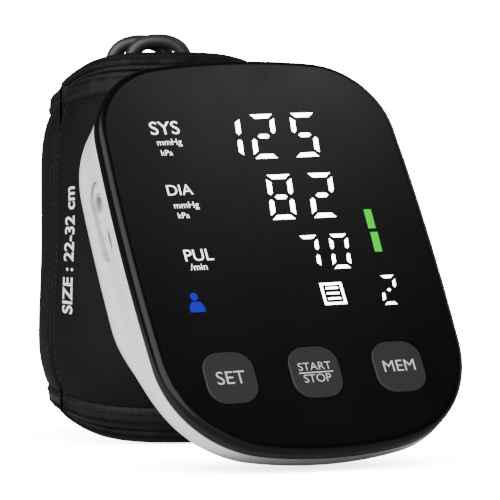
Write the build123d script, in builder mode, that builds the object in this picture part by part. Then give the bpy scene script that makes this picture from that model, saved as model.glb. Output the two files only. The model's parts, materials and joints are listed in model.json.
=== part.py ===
"""Upper-arm blood pressure monitor leaning on its rolled cuff, in millimetres.

+Z is up, the face looks towards -Y and the floor is at Z = 0. The monitor's own directions are
u (across the face, to the right), v (up the face) and w (out of the face). A "depth" is counted
from the face's front plane into the case, and a height on the cuff is counted from the floor.
"""

import os
from math import cos, degrees, pi, radians, sin, sqrt, tan

from build123d import *

# ---------------------------------------------------------------- placing
FACE_Y = -57.6  # centre of the face
FACE_Z = 69.3
LEAN = 31.7  # the face leans back from the vertical
ROLL = 2.2  # the case sits slightly turned on its curved lower edge
ROLL_X = 3.4  # axis of the rolled cuff
ROLL_Y = 50.4

# ---------------------------------------------------------------- monitor case
WIDTH = 110.0
HEIGHT = 147.8
SIDE_ARC = 906.0
TOP_ARC = 232.0
BOTTOM_ARC = 137.6
TOP_CORNER = 28.5
BOTTOM_CORNER = 36.4
COVER_DEPTH = 5.0
COVER_PLATE = 2.0
COVER_WALL = 2.2
COVER_ROUND = 2.6
TRIM_THICK = 1.2
TRIM_INSET = 0.7
TRIM_WIDE = 2.6
CASE_DEPTH = 37.0
CASE_WALL = 2.0
# depth, inset of the sides, of the top and of the bottom, radius of the top and bottom corners
CASE_SECTIONS = (
    (COVER_DEPTH + TRIM_THICK, 0.5, 1.0, 0.6, 29.0, 35.4),
    (12.0, 0.5, 1.2, 1.2, 29.6, 34.0),
    (20.0, 0.6, 1.7, 11.4, 30.2, 34.6),
    (28.0, 0.9, 5.6, 25.2, 30.6, 36.0),
    (34.0, 4.4, 12.0, 26.4, 31.2, 36.0),
    (CASE_DEPTH, 9.5, 21.0, 33.5, 32.0, 36.0),
)

# ---------------------------------------------------------------- left side recess and sockets
RECESS_V = 21.9
RECESS_DEPTH = 15.2
RECESS_LONG = 29.0
RECESS_WIDE = 10.0
RECESS_SINK = 2.4
RECESS_PAD = 2.0
JACK_V = 29.6
JACK_DEPTH = 16.4
JACK_BORE = 4.2
JACK_BODY = 7.0
JACK_LONG = 8.0
JACK_HOLE_LONG = 6.0
PORT_V = 13.6
PORT_WIDE = 8.9
PORT_THICK = 3.2
PORT_LONG = 7.4
PORT_GAP = 0.25
PORT_SHELL = 0.4
PORT_TONGUE = 0.7
PORT_TONGUE_WIDE = 6.5
PORT_FLOOR = 1.0
PORT_ROUND = 1.55

# ---------------------------------------------------------------- keys
KEY_PITCH = 29.8
KEY_U = -1.0
KEY_V = -45.5
KEY_WIDE = 17.6
KEY_HIGH = 18.4
KEY_ROUND = 6.4
KEY_GAP = 0.3
KEY_PROUD = 0.4
KEY_FLANGE = 1.2
KEY_FLANGE_THICK = 1.0
KEY_TRAVEL = 0.7
KEY_STEM = 4.0
KEY_PLAY = 0.1  # between the flange and the cover

# ---------------------------------------------------------------- electronics
BOARD_DEPTH = 10.6
BOARD_THICK = 1.6
BOARD_SIDE = 9.0  # from the case's side
BOARD_WIDE = WIDTH - 2 * BOARD_SIDE
BOARD_HIGH = 112.0
BOARD_ROUND = 18.0
DISPLAY_WIDE = 84.0
DISPLAY_HIGH = 82.0
DISPLAY_V = 13.0
DISPLAY_ROUND = 3.0
DISPLAY_GAP = 0.2
DISPLAY_CHAMFER = 1.0
SWITCH_SIZE = 6.0
SWITCH_BODY = 3.4
SWITCH_TIP = 0.4
SWITCH_TIP_D = 3.2
SWITCH_GAP = 0.1

# ---------------------------------------------------------------- battery bay
CELL_D = 14.2
CELL_LONG = 50.0
CELL_GAP = 0.7
CELL_PITCH = CELL_D + CELL_GAP
CELLS = 4
TRAY_WALL = 1.2
TRAY_ROOM = 0.5
TRAY_V = 0.0
CONTACT_GAP = 2.6
DOOR_THICK = 2.0
DOOR_LAP = 2.6
DOOR_GAP = 0.3
DOOR_ROUND = 0.6
PAN_RIM = 2.0
PAN_DROP = 9.0
GRIPS = 4
GRIP_FROM = 6.0
GRIP_PITCH = 2.4
GRIP_LONG = 20.0
GRIP_WIDE = 1.2
GRIP_SINK = 0.5
CELL_NUB_D = 5.4
CELL_NUB = 1.0
CONTACT_SIZE = 9.0
CONTACT_THICK = 0.5
CONTACT_ROUND = 1.0
SPRING_D = 7.0

# ---------------------------------------------------------------- air system
AIR_V = 44.0
CROSS_U = -28.0
CROSS_SIZE = 8.0
CROSS_ROUND = 1.0
PUMP_U = -15.0  # free end of the pump head
PUMP_V = 47.0
PUMP_DEPTH = 24.0
PUMP_D = 19.0
PUMP_ROUND = 3.0
MOTOR_LONG = 30.0
HEAD_LONG = 12.0
NOZZLE_D = 3.2
NOZZLE_LONG = 4.0
AIR_TUBE_D = 4.2
VALVE_WIDE = 8.0
VALVE_LONG = 12.0
VALVE_THICK = 12.0
SENSOR_SIZE = 7.0
SENSOR_THICK = 5.5
SHORT_TUBE = 4.0
CROSS_THICK = 7.0
AIR_TUBE_BEND = 4.6

# ---------------------------------------------------------------- screws and feet
SCREW_TOP = (37.0, 58.5)
SCREW_BOTTOM = (15.0, -50.0)
POST_D = 7.0
SCREW_D = 2.6
SCREW_HEAD_D = 5.0
SCREW_HEAD = 1.8
SCREW_SEAT = 16.0  # depth of the heads' seats
SCREW_PLAY = 0.2
SCREW_SLOT = 0.8
SCREW_CROSS = 3.0
SCREW_THREAD = 0.1  # depth that the thread bites
SCREW_TIP = 4.0  # depth that the screws reach
BOARD_HOLE_GAP = 0.4
FOOT_D = 6.0
FOOT_PROUD = 0.8
FEET = ((-24.0, 44.0), (24.0, 44.0), (-34.0, -22.0), (34.0, -22.0))

# ---------------------------------------------------------------- rolled cuff
CUFF_HIGH = 135.0
HOLLOW_R = 33.0
LINING = 1.4
BLADDER = 3.4
SHELL = 2.2
BINDING = 6.5
BLADDER_SPAN = 250.0
BLADDER_START = 100.0
BLADDER_MARGIN = 6.0
LOOP_PILE = 0.8
WRAP_GAP = 0.3
TAIL_THICK = 4.9
TAIL_BASE = 5.0
TAIL_DROP = 6.5  # from the inner turn's upper edge
TAIL_HIGH = CUFF_HIGH - TAIL_BASE - TAIL_DROP
TAIL_BINDING = 6.5
SEAM = 185.7  # angle of the sewn fold line, about the roll's axis
FLAP_SPAN = 58.0
SEAM_GAP = 0.6
HOOK_PILE = 1.4
HOOK_MARGIN = 8.0
BAR_WIRE = 3.0
BAR_WIDE = 14.0
BAR_HIGH = 116.0
BAR_ANGLE = -32.0
BAR_SINK = 1.2
TAPE_HIGH = 96.0
TAPE_DEEP = 9.0
TAPE_WIDE = 6.0
TAPE_ROUND = 1.0
BINDING_ROUND = 1.6
PADDING_GAP = 1.0

# ---------------------------------------------------------------- hose
HOSE_D = 5.0
ELBOW_D = 7.0
ELBOW_FLANGE_D = 13.0
ELBOW_FLANGE = 1.4
ELBOW_FLANGE_SINK = 0.7
ELBOW_BEND = 5.0
ELBOW_SEAT = 0.2  # between the elbow's foot and the bladder
PLUG_LONG = 24.0
PLUG_D = 7.6
PLUG_TIP_D = 4.0
PLUG_TIP_LONG = 9.0
PLUG_CHAMFER = 1.2
VIEW_TURN = 22.93  # the hank's loops are flat across this direction
ELBOW_BASE = (-21.0, 6.0, 24.0)
# across the hank, towards its back, height
HOSE_ROUTE = (
    (-21.0, 6.0, 34.0),
    (-21.0, 6.0, 62.0),
    (-21.7, 6.3, 92.0),
    (-21.2, 5.7, 117.0),
    (-22.2, 5.3, 139.4),
    (-0.4, 5.0, 139.7),
    (-0.8, 5.0, 117.0),
    (2.4, 5.6, 88.0),
    (8.0, 6.2, 57.0),
    (13.2, 5.8, 30.0),
    (12.4, 2.6, 7.5),
    (-12.6, -6.2, 7.5),
    (-16.6, -7.0, 30.0),
    (-16.8, -6.0, 60.0),
    (-15.4, -4.2, 91.0),
    (-14.0, -2.8, 118.0),
    (-15.2, -2.2, 139.8),
    (6.2, -2.2, 139.6),
    (5.2, -2.8, 117.0),
    (6.4, -4.8, 88.0),
    (8.0, -7.0, 58.0),
    (8.4, -8.0, 27.0),
)
RUN_SHARE = 0.45


# ================================================================ frames and helpers
def face_plane():
    """The face's front plane: x along u, y along v, z out of the face."""
    tilt = radians(LEAN)
    turn = radians(ROLL)
    up_face = Vector(0, sin(tilt), cos(tilt))
    across = Vector(cos(turn), 0, 0) + up_face * sin(turn)
    return Plane(origin=(0, FACE_Y, FACE_Z), x_dir=across, z_dir=(0, -cos(tilt), sin(tilt)))


FACE = face_plane()
ROLL_AXIS = Plane(origin=(ROLL_X, ROLL_Y, 0))
OUTER_R = HOLLOW_R + LINING + BLADDER + SHELL
TAIL_R = OUTER_R + LOOP_PILE + WRAP_GAP
WRAP_R = TAIL_R + TAIL_THICK


def depth(value):
    """The face's plane moved back into the case."""
    return FACE.offset(-value)


def height(value):
    """The roll's plane at a height over the floor."""
    return ROLL_AXIS.offset(value)


def outline_corner(half, low, arc, sign):
    """Where a side arc meets the top or bottom arc: (u, v)."""
    u = half
    v = low
    for _ in range(30):
        v = low - (arc - sqrt(arc**2 - u**2))
        u = half - (SIDE_ARC - sqrt(SIDE_ARC**2 - v**2))
    return (u, sign * v)


def outline(side=0.0, top=0.0, bottom=0.0, top_corner=None, bottom_corner=None):
    """The case's front outline, moved inwards by each inset, with its own corners if given."""
    if top_corner is None:
        top_corner = TOP_CORNER - (side + top) / 2
        bottom_corner = BOTTOM_CORNER - (side + bottom) / 2
    half = WIDTH / 2 - side
    high = HEIGHT / 2 - top
    low = HEIGHT / 2 - bottom
    tu, tv = outline_corner(half, high, TOP_ARC, 1)
    bu, bv = outline_corner(half, low, BOTTOM_ARC, -1)
    with BuildSketch() as shape:
        with BuildLine():
            ThreePointArc((bu, bv), (half, 0), (tu, tv))
            ThreePointArc((tu, tv), (0, high), (-tu, tv))
            ThreePointArc((-tu, tv), (-half, 0), (-bu, bv))
            ThreePointArc((-bu, bv), (0, -low), (bu, bv))
        make_face()
        corners = shape.vertices().group_by(Axis.Y)
        fillet(corners[-1], top_corner)
        fillet(shape.vertices().group_by(Axis.Y)[0], bottom_corner)
    return shape.sketch


def ring(inner, outer):
    """A flat ring about the origin."""
    with BuildSketch() as shape:
        Circle(outer)
        Circle(inner, mode=Mode.SUBTRACT)
    return shape.sketch


def arc_band(inner, outer, start, span):
    """A flat band between two radii, counter-clockwise from an angle."""
    first = radians(start)
    middle = radians(start + span / 2)
    last = radians(start + span)
    with BuildSketch() as shape:
        with BuildLine():
            ThreePointArc(*[(outer * cos(a), outer * sin(a)) for a in (first, middle, last)])
            Line((outer * cos(last), outer * sin(last)), (inner * cos(last), inner * sin(last)))
            ThreePointArc(*[(inner * cos(a), inner * sin(a)) for a in (last, middle, first)])
            Line((inner * cos(first), inner * sin(first)), (outer * cos(first), outer * sin(first)))
        make_face()
    return shape.sketch


def around_roll(side, back, z):
    """A point of the hank's frame: across, towards its back, height."""
    turn = radians(VIEW_TURN)
    x = ROLL_X + side * cos(turn) + back * sin(turn)
    y = ROLL_Y - side * sin(turn) + back * cos(turn)
    return Vector(x, y, z)


def elbow_plane(radius):
    """A plane square to the elbow's foot, at a distance from the roll's axis."""
    base = around_roll(*ELBOW_BASE)
    axis = Vector(ROLL_X, ROLL_Y, base.Z)
    out = (base - axis).normalized()
    return Plane(origin=axis + out * radius, z_dir=out)


def corner_radii(points):
    """The largest arc that each corner's two runs allow."""
    radii = []
    for before, here, after in zip(points, points[1:], points[2:]):
        first = here - before
        second = after - here
        half_turn = radians(first.get_angle(second)) / 2
        radii.append(RUN_SHARE * min(first.length, second.length) / tan(half_turn))
    return radii


def edges_at(builder, value):
    """The edges that lie in the plane at a depth."""
    return [e for e in builder.edges() if abs(FACE.to_local_coords(e.center()).Z + value) < 0.02]


def on_face(u, v, value):
    """A point of the monitor: u, v and depth."""
    return FACE.from_local_coords(Vector(u, v, -value))


def side_plane(u, v, value):
    """A plane at a point of the monitor that looks out of its left side: x along v."""
    return Plane(origin=on_face(u, v, value), x_dir=FACE.y_dir, z_dir=FACE.x_dir * -1)


def finish(builder, name):
    """Label a finished piece and write it."""
    builder.part.label = name
    export_step(builder.part, f"parts/{name}.step")


os.makedirs("parts", exist_ok=True)
KEY_PLACES = [KEY_U + step * KEY_PITCH for step in (-1, 0, 1)]
KEY_NAMES = ("set_key", "start_stop_key", "memory_key")
SCREWS = [(side * u, v) for u, v in (SCREW_TOP, SCREW_BOTTOM) for side in (-1, 1)]
BAY_HIGH = CELLS * CELL_PITCH + 2 * TRAY_ROOM
BAY_WIDE = CELL_LONG + 2 * CONTACT_GAP
BAY_DEPTH = CELL_D + TRAY_ROOM
DOOR_FLOOR = CASE_DEPTH - DOOR_THICK - DOOR_GAP
BAY_TOP = DOOR_FLOOR - BAY_DEPTH
BAY_BACK = BAY_TOP + BAY_DEPTH
DOOR_WIDE = BAY_WIDE + 2 * DOOR_LAP
DOOR_HIGH = BAY_HIGH + 2 * DOOR_LAP
KEY_REST = COVER_PLATE + KEY_PLAY
STEM_END = BOARD_DEPTH - SWITCH_BODY - SWITCH_TIP - KEY_TRAVEL - SWITCH_GAP
BOARD_BACK = BOARD_DEPTH + BOARD_THICK
PORT_DEPTH = BOARD_BACK + PORT_THICK / 2
CELL_DEPTH = BAY_TOP + BAY_DEPTH / 2
CELL_WAYS = [1 if step % 2 else -1 for step in range(CELLS)]
CELL_ROWS = [TRAY_V + (step - (CELLS - 1) / 2) * CELL_PITCH for step in range(CELLS)]

# ================================================================ monitor: front
with BuildPart() as front_cover:
    with BuildSketch(FACE):
        add(outline())
    extrude(amount=-COVER_DEPTH)
    fillet(edges_at(front_cover, 0), COVER_ROUND)
    with BuildSketch(depth(COVER_PLATE)):
        add(outline(COVER_WALL, COVER_WALL, COVER_WALL))
    extrude(amount=COVER_PLATE - COVER_DEPTH, mode=Mode.SUBTRACT)
    with BuildSketch(FACE):
        with Locations(*[(u, KEY_V) for u in KEY_PLACES]):
            RectangleRounded(KEY_WIDE + 2 * KEY_GAP, KEY_HIGH + 2 * KEY_GAP, KEY_ROUND + KEY_GAP)
    extrude(amount=-COVER_PLATE, mode=Mode.SUBTRACT)
    with BuildSketch(depth(COVER_PLATE)):
        with Locations(*SCREWS):
            Circle(POST_D / 2)
            Circle(SCREW_D / 2 - SCREW_THREAD, mode=Mode.SUBTRACT)
    extrude(amount=COVER_PLATE - BOARD_DEPTH)
finish(front_cover, "front_cover")

with BuildPart() as trim_ring:
    with BuildSketch(depth(COVER_DEPTH)):
        add(outline(TRIM_INSET, TRIM_INSET, TRIM_INSET))
        add(outline(*[TRIM_INSET + TRIM_WIDE] * 3), mode=Mode.SUBTRACT)
    extrude(amount=-TRIM_THICK)
finish(trim_ring, "trim_ring")

for place, key_name in zip(KEY_PLACES, KEY_NAMES):
    with BuildPart() as key:
        with BuildSketch(depth(-KEY_PROUD)):
            with Locations((place, KEY_V)):
                RectangleRounded(KEY_WIDE, KEY_HIGH, KEY_ROUND)
        extrude(amount=-KEY_PROUD - KEY_REST)
        fillet(edges_at(key, -KEY_PROUD), KEY_PROUD)
        with BuildSketch(depth(KEY_REST)):
            with Locations((place, KEY_V)):
                RectangleRounded(KEY_WIDE + 2 * KEY_FLANGE, KEY_HIGH + 2 * KEY_FLANGE, KEY_ROUND)
        extrude(amount=-KEY_FLANGE_THICK)
        with BuildSketch(depth(KEY_REST + KEY_FLANGE_THICK)):
            with Locations((place, KEY_V)):
                Circle(KEY_STEM / 2)
        extrude(amount=KEY_REST + KEY_FLANGE_THICK - STEM_END)
    finish(key, key_name)

# ================================================================ monitor: electronics
with BuildPart() as display_module:
    with BuildSketch(depth(COVER_PLATE + DISPLAY_GAP)):
        with Locations((0, DISPLAY_V)):
            RectangleRounded(DISPLAY_WIDE, DISPLAY_HIGH, DISPLAY_ROUND)
    extrude(amount=COVER_PLATE + DISPLAY_GAP - BOARD_DEPTH)
    chamfer(edges_at(display_module, COVER_PLATE + DISPLAY_GAP), DISPLAY_CHAMFER)
finish(display_module, "display_module")

with BuildPart() as main_board:
    with BuildSketch(depth(BOARD_DEPTH)):
        RectangleRounded(BOARD_WIDE, BOARD_HIGH, BOARD_ROUND)
        with Locations(*[(u, v) for u, v in SCREWS if abs(v) < BOARD_HIGH / 2]):
            Circle(SCREW_D / 2 + BOARD_HOLE_GAP, mode=Mode.SUBTRACT)
    extrude(amount=-BOARD_THICK)
finish(main_board, "main_board")

with BuildPart() as tact_switches:
    with BuildSketch(depth(BOARD_DEPTH)):
        with Locations(*[(u, KEY_V) for u in KEY_PLACES]):
            Rectangle(SWITCH_SIZE, SWITCH_SIZE)
    extrude(amount=SWITCH_BODY)
    with BuildSketch(depth(BOARD_DEPTH - SWITCH_BODY)):
        with Locations(*[(u, KEY_V) for u in KEY_PLACES]):
            Circle(SWITCH_TIP_D / 2)
    extrude(amount=SWITCH_TIP)
finish(tact_switches, "tact_switches")

# ================================================================ monitor: case
with BuildPart() as case_outer:
    for value, side, top, bottom, top_corner, bottom_corner in CASE_SECTIONS:
        with BuildSketch(depth(value)):
            add(outline(side, top, bottom, top_corner, bottom_corner))
    loft()

with BuildPart() as case_inner:
    for step, (value, side, top, bottom, top_corner, bottom_corner) in enumerate(CASE_SECTIONS):
        share = step / (len(CASE_SECTIONS) - 1)
        inset = CASE_WALL * (1 - share / 2)
        corners = (top_corner - inset, bottom_corner - inset)
        with BuildSketch(depth(value - CASE_WALL * share)):
            add(outline(side + inset, top + inset, bottom + inset, *corners))
    loft()

with BuildPart() as case_ribs:
    with BuildSketch(depth(BOARD_BACK)):
        with Locations(*SCREWS):
            Circle(POST_D / 2)
    extrude(amount=BOARD_BACK - CASE_DEPTH)
    with BuildSketch(depth(BAY_BACK)):
        with Locations((0, TRAY_V - PAN_DROP / 2)):
            Rectangle(DOOR_WIDE + 2 * PAN_RIM, DOOR_HIGH + 2 * PAN_RIM + PAN_DROP)
    extrude(amount=BAY_BACK - CASE_DEPTH)
    with BuildSketch(side_plane(-WIDTH / 2, RECESS_V, RECESS_DEPTH)):
        SlotOverall(RECESS_LONG + 2 * RECESS_PAD, RECESS_WIDE + 2 * RECESS_PAD)
    extrude(amount=-RECESS_SINK - RECESS_PAD)
    add(case_outer.part, mode=Mode.INTERSECT)

with BuildPart() as rear_housing:
    add(case_outer.part)
    add(case_inner.part, mode=Mode.SUBTRACT)
    add(case_ribs.part)
    with BuildSketch(side_plane(-WIDTH / 2 + RECESS_SINK, RECESS_V, RECESS_DEPTH)):
        SlotOverall(RECESS_LONG, RECESS_WIDE)
    extrude(amount=2 * RECESS_SINK, mode=Mode.SUBTRACT)
    with BuildSketch(side_plane(-WIDTH / 2, JACK_V, JACK_DEPTH)):
        Circle(JACK_BODY / 2)
    extrude(amount=-RECESS_SINK - 2 * RECESS_PAD, mode=Mode.SUBTRACT)
    with BuildSketch(side_plane(-WIDTH / 2, PORT_V, PORT_DEPTH)):
        RectangleRounded(PORT_WIDE + 2 * PORT_GAP, PORT_THICK + 2 * PORT_GAP, PORT_THICK / 2)
    extrude(amount=-RECESS_SINK - 2 * RECESS_PAD, mode=Mode.SUBTRACT)
    with BuildSketch(depth(DOOR_FLOOR)):
        with Locations((0, TRAY_V - PAN_DROP / 2 - DOOR_HIGH / 4)):
            Rectangle(DOOR_WIDE + 2 * DOOR_GAP, 1.5 * DOOR_HIGH + PAN_DROP + 2 * DOOR_GAP)
    extrude(amount=DOOR_FLOOR - CASE_DEPTH - DOOR_THICK, mode=Mode.SUBTRACT)
    with BuildSketch(depth(BAY_BACK)):
        with Locations((0, TRAY_V)):
            Rectangle(BAY_WIDE, BAY_HIGH)
    extrude(amount=BAY_BACK - CASE_DEPTH, mode=Mode.SUBTRACT)
    with BuildSketch(depth(BOARD_BACK)):
        with Locations(*SCREWS):
            Circle(SCREW_D / 2 + SCREW_PLAY)
    extrude(amount=BOARD_BACK - CASE_DEPTH, mode=Mode.SUBTRACT)
    with BuildSketch(depth(SCREW_SEAT)):
        with Locations(*SCREWS):
            Circle(SCREW_HEAD_D / 2 + SCREW_PLAY)
    extrude(amount=SCREW_SEAT - CASE_DEPTH, mode=Mode.SUBTRACT)
    with BuildSketch(depth(CASE_DEPTH - FOOT_PROUD)):
        with Locations(*FEET):
            Circle(FOOT_D / 2)
    extrude(amount=-FOOT_PROUD, mode=Mode.SUBTRACT)
finish(rear_housing, "rear_housing")

with BuildPart() as rubber_feet:
    with BuildSketch(depth(CASE_DEPTH - FOOT_PROUD)):
        with Locations(*FEET):
            Circle(FOOT_D / 2)
    extrude(amount=-2 * FOOT_PROUD)
    fillet(edges_at(rubber_feet, CASE_DEPTH + FOOT_PROUD), FOOT_PROUD / 2)
finish(rubber_feet, "rubber_feet")

with BuildPart() as case_screws:
    with BuildSketch(depth(SCREW_SEAT)):
        with Locations(*SCREWS):
            Circle(SCREW_HEAD_D / 2)
    extrude(amount=-SCREW_HEAD)
    with BuildSketch(depth(SCREW_SEAT)):
        with Locations(*SCREWS):
            Circle(SCREW_D / 2 - SCREW_THREAD)
    extrude(amount=SCREW_SEAT - SCREW_TIP)
    for u, v in SCREWS:
        with BuildSketch(depth(SCREW_SEAT + SCREW_HEAD)):
            with Locations((u, v)):
                Rectangle(SCREW_CROSS, SCREW_SLOT)
                Rectangle(SCREW_SLOT, SCREW_CROSS)
        extrude(amount=SCREW_HEAD / 2, mode=Mode.SUBTRACT)
finish(case_screws, "case_screws")

with BuildPart() as air_jack:
    with BuildSketch(side_plane(-WIDTH / 2 + RECESS_SINK, JACK_V, JACK_DEPTH)):
        Circle(JACK_BODY / 2)
    extrude(amount=-JACK_LONG)
    with BuildSketch(side_plane(-WIDTH / 2 + RECESS_SINK + JACK_LONG, JACK_V, JACK_DEPTH)):
        Circle(NOZZLE_D / 2)
    extrude(amount=-NOZZLE_LONG)
    with BuildSketch(side_plane(-WIDTH / 2 + RECESS_SINK, JACK_V, JACK_DEPTH)):
        Circle(JACK_BORE / 2)
    extrude(amount=-JACK_HOLE_LONG, mode=Mode.SUBTRACT)
finish(air_jack, "air_jack")

with BuildPart() as power_port:
    with BuildSketch(side_plane(-WIDTH / 2 + RECESS_SINK, PORT_V, PORT_DEPTH)):
        RectangleRounded(PORT_WIDE, PORT_THICK, PORT_ROUND)
    extrude(amount=-PORT_LONG)
    with BuildSketch(side_plane(-WIDTH / 2 + RECESS_SINK, PORT_V, PORT_DEPTH)):
        mouth = (PORT_WIDE - 2 * PORT_SHELL, PORT_THICK - 2 * PORT_SHELL)
        RectangleRounded(*mouth, PORT_ROUND - PORT_SHELL)
        Rectangle(PORT_TONGUE_WIDE, PORT_TONGUE, mode=Mode.SUBTRACT)
    extrude(amount=PORT_FLOOR - PORT_LONG, mode=Mode.SUBTRACT)
finish(power_port, "power_port")

# ================================================================ monitor: battery bay
with BuildPart() as battery_tray:
    with BuildSketch(depth(BAY_TOP - TRAY_WALL)):
        with Locations((0, TRAY_V)):
            Rectangle(BAY_WIDE + 2 * TRAY_WALL, BAY_HIGH + 2 * TRAY_WALL)
    extrude(amount=-TRAY_WALL - BAY_DEPTH)
    with BuildSketch(depth(BAY_TOP)):
        with Locations((0, TRAY_V)):
            Rectangle(BAY_WIDE, BAY_HIGH)
    extrude(amount=-BAY_DEPTH, mode=Mode.SUBTRACT)
finish(battery_tray, "battery_tray")

with BuildPart() as batteries:
    for row, way in zip(CELL_ROWS, CELL_WAYS):
        with BuildSketch(side_plane(CELL_LONG / 2, row, CELL_DEPTH)):
            Circle(CELL_D / 2)
        extrude(amount=CELL_LONG)
        with BuildSketch(side_plane(way * CELL_LONG / 2, row, CELL_DEPTH)):
            Circle(CELL_NUB_D / 2)
        extrude(amount=-way * CELL_NUB)
finish(batteries, "batteries")

with BuildPart() as battery_contacts:
    for row, way in zip(CELL_ROWS, CELL_WAYS):
        for end in (-1, 1):
            with BuildSketch(side_plane(end * BAY_WIDE / 2, row, CELL_DEPTH)):
                RectangleRounded(CONTACT_SIZE, CONTACT_SIZE, CONTACT_ROUND)
            extrude(amount=end * CONTACT_THICK)
        spring_from = side_plane(-way * (BAY_WIDE / 2 - CONTACT_THICK), row, CELL_DEPTH)
        with BuildSketch(spring_from):
            Circle(SPRING_D / 2)
        with BuildSketch(spring_from.offset(-way * (CONTACT_GAP - CONTACT_THICK))):
            Circle(SPRING_D / 3)
        loft()
finish(battery_contacts, "battery_contacts")

with BuildPart() as battery_door:
    with BuildSketch(depth(DOOR_FLOOR + DOOR_GAP / 2)):
        with Locations((0, TRAY_V)):
            Rectangle(DOOR_WIDE, DOOR_HIGH)
    extrude(amount=-DOOR_THICK - DOOR_GAP / 2)
    fillet(edges_at(battery_door, CASE_DEPTH), DOOR_ROUND)
    with BuildSketch(depth(CASE_DEPTH)):
        grip_rows = [TRAY_V - DOOR_HIGH / 2 + GRIP_FROM + step * GRIP_PITCH for step in range(GRIPS)]
        with Locations(*[(0, row) for row in grip_rows]):
            SlotOverall(GRIP_LONG, GRIP_WIDE)
    extrude(amount=GRIP_SINK, mode=Mode.SUBTRACT)
finish(battery_door, "battery_door")

# ================================================================ monitor: air system
with BuildPart() as pump_motor:
    with BuildSketch(side_plane(PUMP_U + HEAD_LONG + MOTOR_LONG, PUMP_V, PUMP_DEPTH)):
        Circle(PUMP_D / 2)
    extrude(amount=MOTOR_LONG)
finish(pump_motor, "pump_motor")

with BuildPart() as pump_head:
    with BuildSketch(side_plane(PUMP_U + HEAD_LONG, PUMP_V, PUMP_DEPTH)):
        RectangleRounded(PUMP_D, PUMP_D, PUMP_ROUND)
    extrude(amount=HEAD_LONG)
    with BuildSketch(side_plane(PUMP_U, AIR_V, JACK_DEPTH)):
        Circle(NOZZLE_D / 2)
    extrude(amount=NOZZLE_LONG)
finish(pump_head, "pump_head")

with BuildPart() as air_cross:
    with BuildSketch(depth(JACK_DEPTH - CROSS_THICK / 2)):
        with Locations((CROSS_U, AIR_V)):
            RectangleRounded(CROSS_SIZE, CROSS_SIZE, CROSS_ROUND)
    extrude(amount=-CROSS_THICK)
finish(air_cross, "air_cross")

with BuildPart() as pressure_sensor:
    with BuildSketch(depth(BOARD_BACK)):
        with Locations((CROSS_U - CROSS_SIZE / 2 - SHORT_TUBE - SENSOR_SIZE / 2, AIR_V)):
            Rectangle(SENSOR_SIZE, SENSOR_SIZE)
    extrude(amount=-SENSOR_THICK)
finish(pressure_sensor, "pressure_sensor")

with BuildPart() as release_valve:
    with BuildSketch(depth(BOARD_BACK)):
        with Locations((CROSS_U, AIR_V + CROSS_SIZE / 2 + SHORT_TUBE + VALVE_LONG / 2)):
            Rectangle(VALVE_WIDE, VALVE_LONG)
    extrude(amount=-VALVE_THICK)
finish(release_valve, "release_valve")

with BuildPart() as air_tubes:
    with BuildSketch(side_plane(PUMP_U - NOZZLE_LONG, AIR_V, JACK_DEPTH)):
        Circle(AIR_TUBE_D / 2)
    extrude(amount=PUMP_U - NOZZLE_LONG - CROSS_U - CROSS_SIZE / 2)
    with BuildSketch(side_plane(CROSS_U - CROSS_SIZE / 2, AIR_V, JACK_DEPTH)):
        Circle(AIR_TUBE_D / 2)
    extrude(amount=SHORT_TUBE)
    with BuildSketch(Plane(origin=on_face(CROSS_U, AIR_V + CROSS_SIZE / 2, JACK_DEPTH), z_dir=FACE.y_dir)):
        Circle(AIR_TUBE_D / 2)
    extrude(amount=SHORT_TUBE)
    with BuildLine() as jack_line:
        FilletPolyline(
            on_face(CROSS_U, AIR_V - CROSS_SIZE / 2, JACK_DEPTH),
            on_face(CROSS_U, JACK_V, JACK_DEPTH),
            on_face(-WIDTH / 2 + RECESS_SINK + JACK_LONG + NOZZLE_LONG, JACK_V, JACK_DEPTH),
            radius=AIR_TUBE_BEND,
        )
    with BuildSketch(Plane(origin=jack_line.line @ 0, z_dir=jack_line.line % 0)):
        Circle(AIR_TUBE_D / 2)
    sweep(path=jack_line.line)
finish(air_tubes, "air_tubes")

# ================================================================ rolled cuff
with BuildPart() as lower_binding:
    with BuildSketch(height(0)):
        add(ring(HOLLOW_R, OUTER_R))
    extrude(amount=BINDING)
    fillet(lower_binding.edges().group_by(Axis.Z)[0], BINDING_ROUND)
finish(lower_binding, "lower_binding")

with BuildPart() as upper_binding:
    with BuildSketch(height(CUFF_HIGH - BINDING)):
        add(ring(HOLLOW_R, OUTER_R))
    extrude(amount=BINDING)
    fillet(upper_binding.edges().group_by(Axis.Z)[-1], BINDING_ROUND)
finish(upper_binding, "upper_binding")

with BuildPart() as cuff_lining:
    with BuildSketch(height(BINDING)):
        add(ring(HOLLOW_R, HOLLOW_R + LINING))
    extrude(amount=CUFF_HIGH - 2 * BINDING)
    with BuildSketch(elbow_plane(0)):
        Circle(ELBOW_D / 2)
    extrude(amount=2 * HOLLOW_R, mode=Mode.SUBTRACT)
finish(cuff_lining, "cuff_lining")

with BuildPart() as bladder:
    with BuildSketch(height(BINDING + BLADDER_MARGIN)):
        add(arc_band(HOLLOW_R + LINING, HOLLOW_R + LINING + BLADDER, BLADDER_START, BLADDER_SPAN))
    extrude(amount=CUFF_HIGH - 2 * BINDING - 2 * BLADDER_MARGIN)
finish(bladder, "bladder")

with BuildPart() as tail_padding:
    with BuildSketch(height(BINDING)):
        add(
            arc_band(
                HOLLOW_R + LINING,
                HOLLOW_R + LINING + BLADDER,
                BLADDER_START + BLADDER_SPAN + PADDING_GAP,
                360 - BLADDER_SPAN - 2 * PADDING_GAP,
            )
        )
    extrude(amount=CUFF_HIGH - 2 * BINDING)
finish(tail_padding, "tail_padding")

with BuildPart() as cuff_shell:
    with BuildSketch(height(BINDING)):
        add(ring(OUTER_R - SHELL, OUTER_R))
    extrude(amount=CUFF_HIGH - 2 * BINDING)
finish(cuff_shell, "cuff_shell")

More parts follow.
